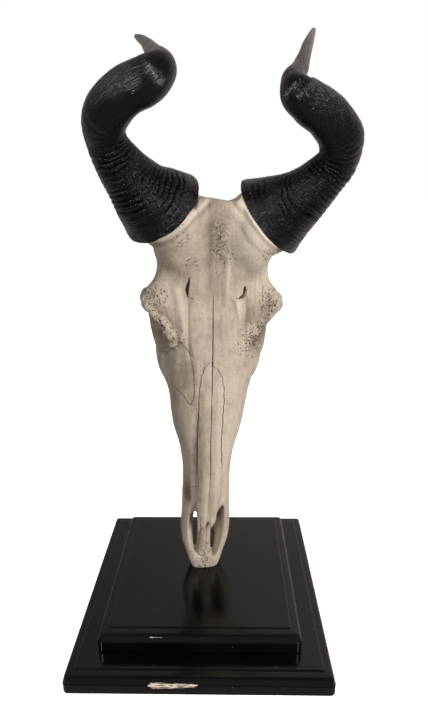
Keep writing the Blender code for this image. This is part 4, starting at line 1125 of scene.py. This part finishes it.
# Where the bone is porous, beside the rims of the eyes: x, z, half width, half height and strength.
POROUS_PLACES = [
    (4.4, 28.6, 1.3, 1.6, 1.15), (-4.1, 28.7, 0.9, 1.1, 0.9), (-6.3, 33.3, 1.2, 1.3, 1.0),
    (6.4, 33.0, 1.2, 1.3, 1.0), (-0.2, 1.3, 1.3, 1.9, 0.9), (5.3, 38.3, 0.5, 0.8, 0.7),
    (-3.6, 40.2, 1.0, 1.2, 0.5), (-2.4, 37.4, 0.8, 0.6, 0.4), (1.3, 37.8, 0.7, 0.8, 0.6),
    (-2.3, 10.4, 0.35, 1.0, 0.8),
]
BONE_SHARES = ("stain_and_shade", "pale_and_highlight", "joint_dirt_and_crack_shade", "socket", "pore", "wrinkle")


def paint(body):
    """Gives the bone's points their shares for the material from their places: stains and painted shade,
    paler bone and painted highlights, dirty joints and painted shade in cracks, painted shade in the eye
    sockets, pores and wrinkles.
    """
    points = unposed(coordinates(body.data))
    facing = -coordinates(body.data, "normal")[:, 1]
    x, y, z = points.T
    front = np.clip(facing * 2 + 0.6, 0, 1) * (y < 5.0)
    stain_and_shade = 0.08 + 0.20 * lattice_noise(points, 1.7, 21) + 0.12 * lattice_noise(points, 0.6, 22)
    for place in STAINS_SHADE_AND_HIGHLIGHTS:
        stain_and_shade += soft_patch(front, x, z, *place)
    stain_and_shade += 0.35 * np.clip((y - 4.5) / 4.0, 0, 1)
    pale_and_highlight = np.zeros(len(points))
    for side, _ in SIDES:
        height, near = near_foot(points, side)
        near = near * front
        # Below each sheath's foot a dark band is painted: the shade of the shallow groove there.
        stain_and_shade += 0.45 * bell(height + 0.50, 0.14) * near
        pale_and_highlight += 0.8 * bell(height + 0.10, 0.20) * near
    # Some pale places are painted highlights on the bulge by the right horn and the ridges above the eyes.
    for place in PALE_AND_HIGHLIGHT_PLACES:
        pale_and_highlight += soft_patch(front, x, z, *place)
    joint_dirt_and_crack_shade = np.zeros(len(points))
    for line, strength in DIRTY_LINES:
        signed, past = line_distance(x, z, line)
        joint_dirt_and_crack_shade = np.maximum(joint_dirt_and_crack_shade, strength * bell(signed, 0.08) * bell(past, 0.12) * front)
    # Along the open joints beside the nasals and down the middle the bone is darkened, most on walls facing
    # away from the front: dark joints and painted shade inside the cracks.
    wall = np.clip(1.4 - 2 * facing, 0.60, 1.0)
    for edge in nasal_edges(z):
        close = bell(x - edge, 0.08) * (z < NASAL_TOP_CM)
        joint_dirt_and_crack_shade = np.maximum(joint_dirt_and_crack_shade, close * wall * np.where(z > 13.8, 1.0, 0.45) * (y < 3))
    close = bell(x - mid_line(z), 0.075) * (z < CRACK_TOP_CM + 0.1)
    joint_dirt_and_crack_shade = np.maximum(joint_dirt_and_crack_shade, close * wall * np.where(z > 13.0, 1.0, 0.40) * (y < 3.5))
    # The bone inside each eye socket is darkened: painted shade.
    socket = np.zeros(len(points))
    for side, _ in SIDES:
        away = np.linalg.norm((points - (side * 6.3, 4.9, 30.7)) / (2.9, 2.7, 2.9), axis=1)
        socket = np.maximum(socket, np.clip(1.25 - away, 0, 1))
    pore = 0.8 * bell(rim_distance(points), 0.8)
    for place in POROUS_PLACES:
        pore = np.maximum(pore, soft_patch(front, x, z, *place))
    wrinkle = 1.25 * front * bell(x - 0.25, 0.80) * bell(z - 39.8, 2.5)
    shares = (stain_and_shade, pale_and_highlight, joint_dirt_and_crack_shade, socket * 1.6, pore, wrinkle)
    for word, share in zip(BONE_SHARES, shares):
        give_attribute(body.data, word, np.clip(share, 0, 1))


def bone_look(name):
    """Dry old bone: matte, warm beige grey, brown where it is dirty, dark in pores and fine cracks, with
    painted shade in the cracks, the eye sockets and where the face turns from the light, and painted
    highlights on ridges.
    """
    look, tree, shader = new_material(name)
    place = add(tree, "TexCoord")[3]
    shares = [add(tree, "Attribute", attribute_name=word)[2] for word in BONE_SHARES]
    stain_and_shade, pale_and_highlight, joint_dirt_and_crack_shade, socket, pore, wrinkle = shares
    # The colour drifts between two shades of bone in patches of about 45 mm.
    broad = add(tree, "TexNoise", place, 22.0, 7.0, 0.6)[0]
    broad = add(tree, "MapRange", broad, 0.34, 0.68)[0]
    # Streaks run up the face, 2 to 3 mm wide and one or two centimetres long.
    drawn = add(tree, "Mapping", place, None, None, (300.0, 300.0, 55.0))[0]
    streak = add(tree, "TexNoise", drawn, 1.0, 4.0)[0]
    streaked = add(tree, "MapRange", streak, 0.40, 0.72)[0]
    varied = add(tree, "MapRange", streak, 0.25, 0.70, 0.6, 1.2)[0]
    # Pores are 0.4 to 1 mm across in the real rims, drawn about 2 mm apart so that they show.
    warped = add(tree, "TexNoise", place, 300.0, 2.0)[1]
    warped = add(tree, "VectorMath", warped, (0.0016, 0.0016, 0.0016), operation="MULTIPLY")[0]
    warped = add(tree, "VectorMath", warped, place, operation="ADD")[0]
    distance, cell, _ = add(tree, "TexVoronoi", warped, 470.0)
    kept = add(tree, "SeparateColor", cell)[0]
    kept = add(tree, "Math", pore, kept, operation="SUBTRACT")[0]
    kept = add(tree, "MapRange", kept, 0.0, 0.15)[0]
    pit = add(tree, "MapRange", distance, 0.22, 0.46, 1.0, 0.0)[0]
    pit = add(tree, "Math", pit, kept, operation="MULTIPLY")[0]
    # The wrinkles are short curls along the level lines of a noise, 1.5 to 3 mm apart.
    spread = add(tree, "Mapping", place, None, None, (220.0, 220.0, 320.0))[0]
    curl = add(tree, "TexNoise", spread, 1.0, 1.5, None, None, 0.8)[0]
    curl = add(tree, "Math", curl, 0.5, operation="SUBTRACT")[0]
    curl = add(tree, "Math", curl, operation="ABSOLUTE")[0]
    curl = add(tree, "MapRange", curl, 0.018, 0.055, 1.0, 0.0)[0]
    curl = add(tree, "Math", curl, wrinkle, operation="MULTIPLY")[0]
    # Specks of old dirt lie all over, about 1 mm apart, and finer flecks where the bone is porous.
    specks = add(tree, "TexNoise", place, 800.0, 3.0)[0]
    specks = add(tree, "MapRange", specks, 0.56, 0.72)[0]
    flecks = add(tree, "TexNoise", place, 1100.0, 2.0)[0]
    flecks = add(tree, "MapRange", flecks, 0.54, 0.64)[0]
    flecks = add(tree, "Math", flecks, pore, operation="MULTIPLY")[0]
    # The grime colour darkens dirty joints and paints the shade inside the open cracks.
    grime_and_crack_shade = add(tree, "MapRange", joint_dirt_and_crack_shade, 0.30, 0.95)[0]
    colour = add(tree, "Mix", broad, linear("#cfc0ad"), linear("#b6a693"), data_type="RGBA")[0]
    layers = [
        # The stain colour also paints shade, and the pale colour also paints highlights.
        (streaked, 0.26, "#94846f"), (stain_and_shade, varied, "#7c6c5a"), (pale_and_highlight, 0.80, "#e4d7c4"),
        # The socket colour is painted shade inside the eye sockets.
        (socket, 0.75, "#66543f"), (pit, 0.92, "#423428"), (curl, 0.95, "#463b30"),
        (specks, 0.60, "#6b5c4c"), (flecks, 0.75, "#55473a"), (grime_and_crack_shade, 0.88, "#33271d"),
    ]
    for share, most, tint in layers:
        share = add(tree, "Math", share, most, operation="MULTIPLY")[0]
        colour = add(tree, "Mix", share, colour, linear(tint), data_type="RGBA")[0]
    tree.links.new(colour, shader.inputs["Base Color"])
    shader.inputs["Roughness"].default_value = 0.60
    shader.inputs["Specular IOR Level"].default_value = 0.35
    # The dry surface is uneven over 2 to 3 mm and finer.
    fine = add(tree, "TexNoise", place, 420.0, 5.0, 0.65)[0]
    level = 0.0
    for height, share in ((fine, 0.60), (streak, 0.50), (pit, -1.5), (curl, -1.0)):
        height = add(tree, "Math", height, share, operation="MULTIPLY")[0]
        level = add(tree, "Math", level, height, operation="ADD")[0]
    bump = add(tree, "Bump", 0.9, 0.0007, None, level)[0]
    tree.links.new(bump, shader.inputs["Normal"])
    return look


dry_bone = bone_look("dry_weathered_bone")
for bone, node_name in parted_bones():
    paint(bone)
    dress(bone, dry_bone, "bone", node_name)

# The horn sheaths: near-black keratin worn to a satin sheen, finely fibred along their length, with
# crowded growth rings on the lower half, slipped over the bony cores of the skull.
# Stations of x outward, y, z and radius along the middle of each horn, above the sheath's foot.
HORN_RIGHT = [
    (6.92, 1.8, 42.9, 3.92), (8.35, 0.5, 44.08, 3.02), (9.9, -0.9, 45.75, 2.33),
    (11.12, -2.3, 47.7, 1.94), (10.85, -3.6, 49.5, 2.02), (9.02, -4.8, 51.15, 1.97),
    (7.03, -5.6, 52.1, 1.84), (5.91, -5.9, 52.81, 1.58), (5.71, -5.3, 53.57, 1.16),
    (6.66, -3.1, 55.19, 0.77), (8.0, 0.3, 58.0, 0.48), (9.24, 3.7, 60.03, 0.21),
]
HORN_LEFT = [
    (6.98, 1.8, 43.65, 3.8), (8.42, 0.7, 45.16, 2.89), (9.67, -0.6, 46.8, 2.31),
    (10.56, -1.8, 48.37, 1.94), (10.72, -3.0, 49.64, 1.94), (10.06, -4.3, 50.86, 2.05),
    (8.44, -5.3, 52.2, 1.99), (6.6, -5.8, 53.12, 1.86), (5.86, -5.4, 53.9, 1.56),
    (6.19, -3.6, 55.31, 0.91), (7.04, -0.1, 57.09, 0.51), (8.13, 3.9, 58.56, 0.23),
]
RING_PITCH_CM = 0.56
RING_DEPTH_CM = 0.135
FOOT_BEND_CM = 3.5
FIBRE_RADIUS = 0.03


def ring_relief(run, points, seed):
    """Growth rings: a wave over the run, bent and broken by noise, deepest at 2 to 9 cm, gone by 15 cm."""
    bend = 0.45 * lattice_noise(points, 2.4, seed) + 0.16 * lattice_noise(points, 0.8, seed + 1)
    phase = (run + bend) / RING_PITCH_CM
    wave = (1 - np.abs(np.sin(pi * phase))) ** 1.2
    fine = (1 - np.abs(np.sin(pi * (run + 0.7 * bend) / (RING_PITCH_CM * 0.41)))) ** 1.4
    strong = 0.60 + 0.95 * lattice_noise(points, 1.3, seed + 2)
    fade = (0.35 + 0.65 * ease(run, 2.0)) * (1 - ease(run - 7.5, 7.0))
    rings = fade * (RING_DEPTH_CM * np.clip(strong, 0.0, 1.6) * -wave - 0.045 * fine)
    lumps = 0.050 + 0.090 * ease(run - 8.0, 5.0) * (1 - ease(run - 18.0, 3.0))
    rough = lumps * lattice_noise(points, 2.2, seed + 3) + 0.020 * lattice_noise(points, 0.8, seed + 4)
    return rings + rough, fade * np.maximum(wave * np.clip(strong, 0.0, 1.0), 0.6 * fine)


def horn_mesh(name, side, stations, count=700, sides=128):
    """A tube along the horn whose radius carries the growth rings, with a rounded, slightly ragged foot."""
    seat, foot_radius, axis = horn_seat(side)
    path = smooth_path([(*seat, foot_radius)] + mirrored(stations, side).tolist(), 1500)
    length = np.concatenate([[0], np.cumsum(np.linalg.norm(np.diff(path[:, :3], axis=0), axis=1))])
    run = np.concatenate([np.linspace(0, 0.35, 14)[:-1], np.linspace(0.35, length[-1], count - 13)])
    middle = np.stack([np.interp(run, length, path[:, k]) for k in range(3)], -1)
    radius = np.interp(run, length, path[:, 3])
    along = unit(np.gradient(middle, run, axis=0))
    level = ease(run, FOOT_BEND_CM)[:, None]
    along = unit(axis * (1 - level) + along * level)
    frames, across = [], unit(np.cross(axis, (0.0, 1.0, 0.0)))
    for step in along:
        across = unit(across - step * across.dot(step))
        frames.append(across)
    across = np.asarray(frames)
    up = np.cross(along, across)
    turn = np.linspace(0, 2 * pi, sides, endpoint=False)[None, :]
    spread = np.cos(turn)[..., None] * across[:, None] + np.sin(turn)[..., None] * up[:, None]
    plain = middle[:, None] + radius[:, None, None] * spread
    grow, groove = ring_relief(run[:, None], plain, 30 + side)
    foot = 0.10 * (1 - np.sqrt(1 - (1 - np.clip(run / 0.15, 0, 1)) ** 2))[:, None]
    ragged = np.clip(lattice_noise(plain[:1], 0.7, 40 + side), 0, 1) * 0.10 * (1 - ease(run, 1.0))[:, None]
    out = (radius[:, None] + grow - foot)[..., None] * spread
    points = middle[:, None] + out + ragged[..., None] * axis
    run = np.broadcast_to(run[:, None], grow.shape)
    rod = [np.broadcast_to(FIBRE_RADIUS * wave(turn), grow.shape) for wave in (np.cos, np.sin)]
    attributes = {"groove": groove, "run": run, "fibre": np.stack([*rod, run * CM], -1)}
    return closed_loft(name, posed(points), attributes)


def horn_look(name):
    """Keratin: near black with a satin sheen broken up by fibres, grey brown towards the rubbed tip, with
    painted shade in the ring grooves.
    """
    look, tree, shader = new_material(name)
    fibre = add(tree, "Attribute", attribute_name="fibre")[1]
    run = add(tree, "Attribute", attribute_name="run")[2]
    groove = add(tree, "Attribute", attribute_name="groove")[2]
    # Fibres are hairs of keratin, about 0.2 mm wide in the real horn and drawn three times as coarse.
    drawn = add(tree, "Mapping", fibre, None, None, (1500.0, 1500.0, 130.0))[0]
    hairs = add(tree, "TexNoise", drawn, 1.0, 3.0)[0]
    banded = add(tree, "Mapping", fibre, None, None, (110.0, 110.0, 800.0))[0]
    bands = add(tree, "TexNoise", banded, 1.0, 4.0)[0]
    low = add(tree, "MapRange", run, 9.0, 15.0, 1.0, 0.0)[0]
    bands = add(tree, "Math", bands, low, operation="MULTIPLY")[0]
    # The black shifts in patches about 17 mm wide.
    patchy = add(tree, "TexNoise", fibre, 60.0, 4.0)[0]
    patchy = add(tree, "MapRange", patchy, 0.35, 0.70)[0]
    tip = add(tree, "Math", hairs, 2.0, operation="MULTIPLY")[0]
    tip = add(tree, "Math", run, tip, operation="ADD")[0]
    tip = add(tree, "MapRange", tip, 21.5, 25.5)[0]
    # The ring grooves are darkened to near black: painted shade in the grooves.
    deep = add(tree, "Math", groove, 0.9, operation="MULTIPLY")[0]
    tip_colour = add(tree, "Mix", hairs, linear("#3e3833"), linear("#726a62"), data_type="RGBA")[0]
    colour = linear("#070505")
    for share, tint in ((patchy, linear("#0f0c0b")), (deep, linear("#020202")), (tip, tip_colour)):
        colour = add(tree, "Mix", share, colour, tint, data_type="RGBA")[0]
    tree.links.new(colour, shader.inputs["Base Color"])
    rough = add(tree, "MapRange", hairs, 0.3, 0.7, 0.17, 0.34)[0]
    tree.links.new(rough, shader.inputs["Roughness"])
    gleam = add(tree, "MapRange", groove, 0.05, 0.55, 0.30, 0.04)[0]
    tree.links.new(gleam, shader.inputs["Specular IOR Level"])
    level = 0.0
    for height, share in ((hairs, 0.8), (bands, 2.2)):
        height = add(tree, "Math", height, share, operation="MULTIPLY")[0]
        level = add(tree, "Math", level, height, operation="ADD")[0]
    bump = add(tree, "Bump", 0.80, 0.0009, None, level)[0]
    tree.links.new(bump, shader.inputs["Normal"])
    return look


horn = horn_look("ringed_horn_keratin")
for side, word, stations in ((-1, "left", HORN_LEFT), (1, "right", HORN_RIGHT)):
    sheath = horn_mesh("horn_sheath_" + word, side, stations)
    dress(sheath, horn, "horn", "horn_" + word)

# Floor and light: a pale seamless ground and large soft studio lamps, with the camera at the
# height and tilt that the photo was taken from.
pale_paper, _, pale_shader = new_material("pale_paper_ground")
pale_shader.inputs["Base Color"].default_value = linear("#f4f4f4")
pale_shader.inputs["Roughness"].default_value = 0.9
pale_shader.inputs["Emission Color"].default_value = linear("#ffffff")
pale_shader.inputs["Emission Strength"].default_value = 1.0
bpy.ops.mesh.primitive_plane_add(size=60.0, location=(0, 0, -0.0002))
floor = bpy.context.object
floor.name = "floor"
floor.data.materials.append(pale_paper)
floor.visible_glossy = False
floor.visible_diffuse = False


def placed(right, up, back, place):
    """The matrix of an object from its own three axes and its place."""
    return Matrix([[right[k], up[k], back[k], place[k]] for k in range(3)] + [[0, 0, 0, 1]])


def soft_lamp(name, place, aim, wide, power, sheen):
    """A square area lamp that looks at a point; sheen says whether glossy surfaces mirror it."""
    lamp = bpy.data.lights.new(name, "AREA")
    lamp.size, lamp.energy = wide, power
    lamp.specular_factor = sheen
    made = new_object(name, lamp)
    back = unit(np.asarray(place, float) - np.asarray(aim, float))
    right = unit(np.cross((0.0, 0.0, 1.0), back))
    made.matrix_world = placed(right, np.cross(back, right), back, place)
    return made


# Name, place, width, power and sheen of the room's lamps, which glossy surfaces don't mirror.
ROOM_LAMPS = [
    ("key_lamp", (1.30, -1.15, 0.85), 0.6, 33.0, 1.0), ("fill_lamp", (-0.6, -1.7, 0.9), 1.2, 10.2, 1.0),
    ("back_lamp", (0.1, 1.8, 0.8), 1.2, 16.0, 0.0),
]
for name, place, wide, power, sheen in ROOM_LAMPS:
    lamp = soft_lamp(name, place, (0.0, 0.0, 0.30), wide, power, sheen)
    lamp.visible_glossy = False
# Two lamps that only show as a sheen on the horns, like windows beside the camera.
for name, place in (("left_window", (-0.75, -0.90, 1.15)), ("right_window", (0.70, -0.95, 1.00))):
    window = soft_lamp(name, place, (0.0, -0.03, 0.53), 0.14, 15.0, 1.0)
    window.visible_diffuse = False

# The camera sees white paper all round; diffuse light comes evenly and weakly from the room, and
# glossy surfaces mirror a room that is dark in front and brighter behind and to the right.
world = bpy.data.worlds.new("studio")
bpy.context.scene.world = world
world.use_nodes = True
sky_tree = world.node_tree
room = sky_tree.nodes["Background"]
room.inputs["Color"].default_value = linear("#e8e4e0")
room.inputs["Strength"].default_value = 0.20
paper = add(sky_tree, "Background", linear("#ffffff"), 1.0)[0]
x, y, z = add(sky_tree, "SeparateXYZ", add(sky_tree, "TexCoord")[0])
behind = add(sky_tree, "MapRange", y, 0.1, 0.6)[0]
low_sky = add(sky_tree, "MapRange", z, 0.98, 0.80)[0]
right_sky = add(sky_tree, "MapRange", x, -0.25, 0.25, 0.35, 0.75)[0]
under = add(sky_tree, "MapRange", z, 0.0, -0.15, 0.12, 0.34)[0]
bright = add(sky_tree, "Math", behind, low_sky, operation="MULTIPLY")[0]
bright = add(sky_tree, "Math", bright, right_sky, operation="MULTIPLY")[0]
bright = add(sky_tree, "Math", bright, under, operation="ADD")[0]
mirrored_room = add(sky_tree, "Background", linear("#f6ece6"), bright)[0]
rays = add(sky_tree, "LightPath")
camera_ray, glossy_ray = rays[0], rays[3]
dull = add(sky_tree, "MixShader", glossy_ray, room.outputs[0], mirrored_room)[0]
both = add(sky_tree, "MixShader", camera_ray, dull, paper)[0]
sky_tree.links.new(both, sky_tree.nodes["World Output"].inputs[0])
bpy.context.scene.view_settings.view_transform = "Standard"

lens = bpy.data.cameras.new("camera")
lens.sensor_width = 36.0
lens.lens = 25.99
camera = new_object("camera", lens)
PITCH, YAW, ROLL = radians(17.4186), radians(-1.5195), radians(-0.8166)
ahead = np.array([sin(YAW) * cos(PITCH), cos(YAW) * cos(PITCH), -sin(PITCH)])
level_right = np.array([cos(YAW), -sin(YAW), 0.0])
level_up = np.cross(level_right, ahead)
right = level_right * cos(ROLL) + level_up * sin(ROLL)
up = np.cross(right, ahead)
CAMERA_PLACE = (0.0316, -0.5426, 0.4845)
camera.matrix_world = placed(right, up, -ahead, CAMERA_PLACE)
bpy.context.scene.camera = camera
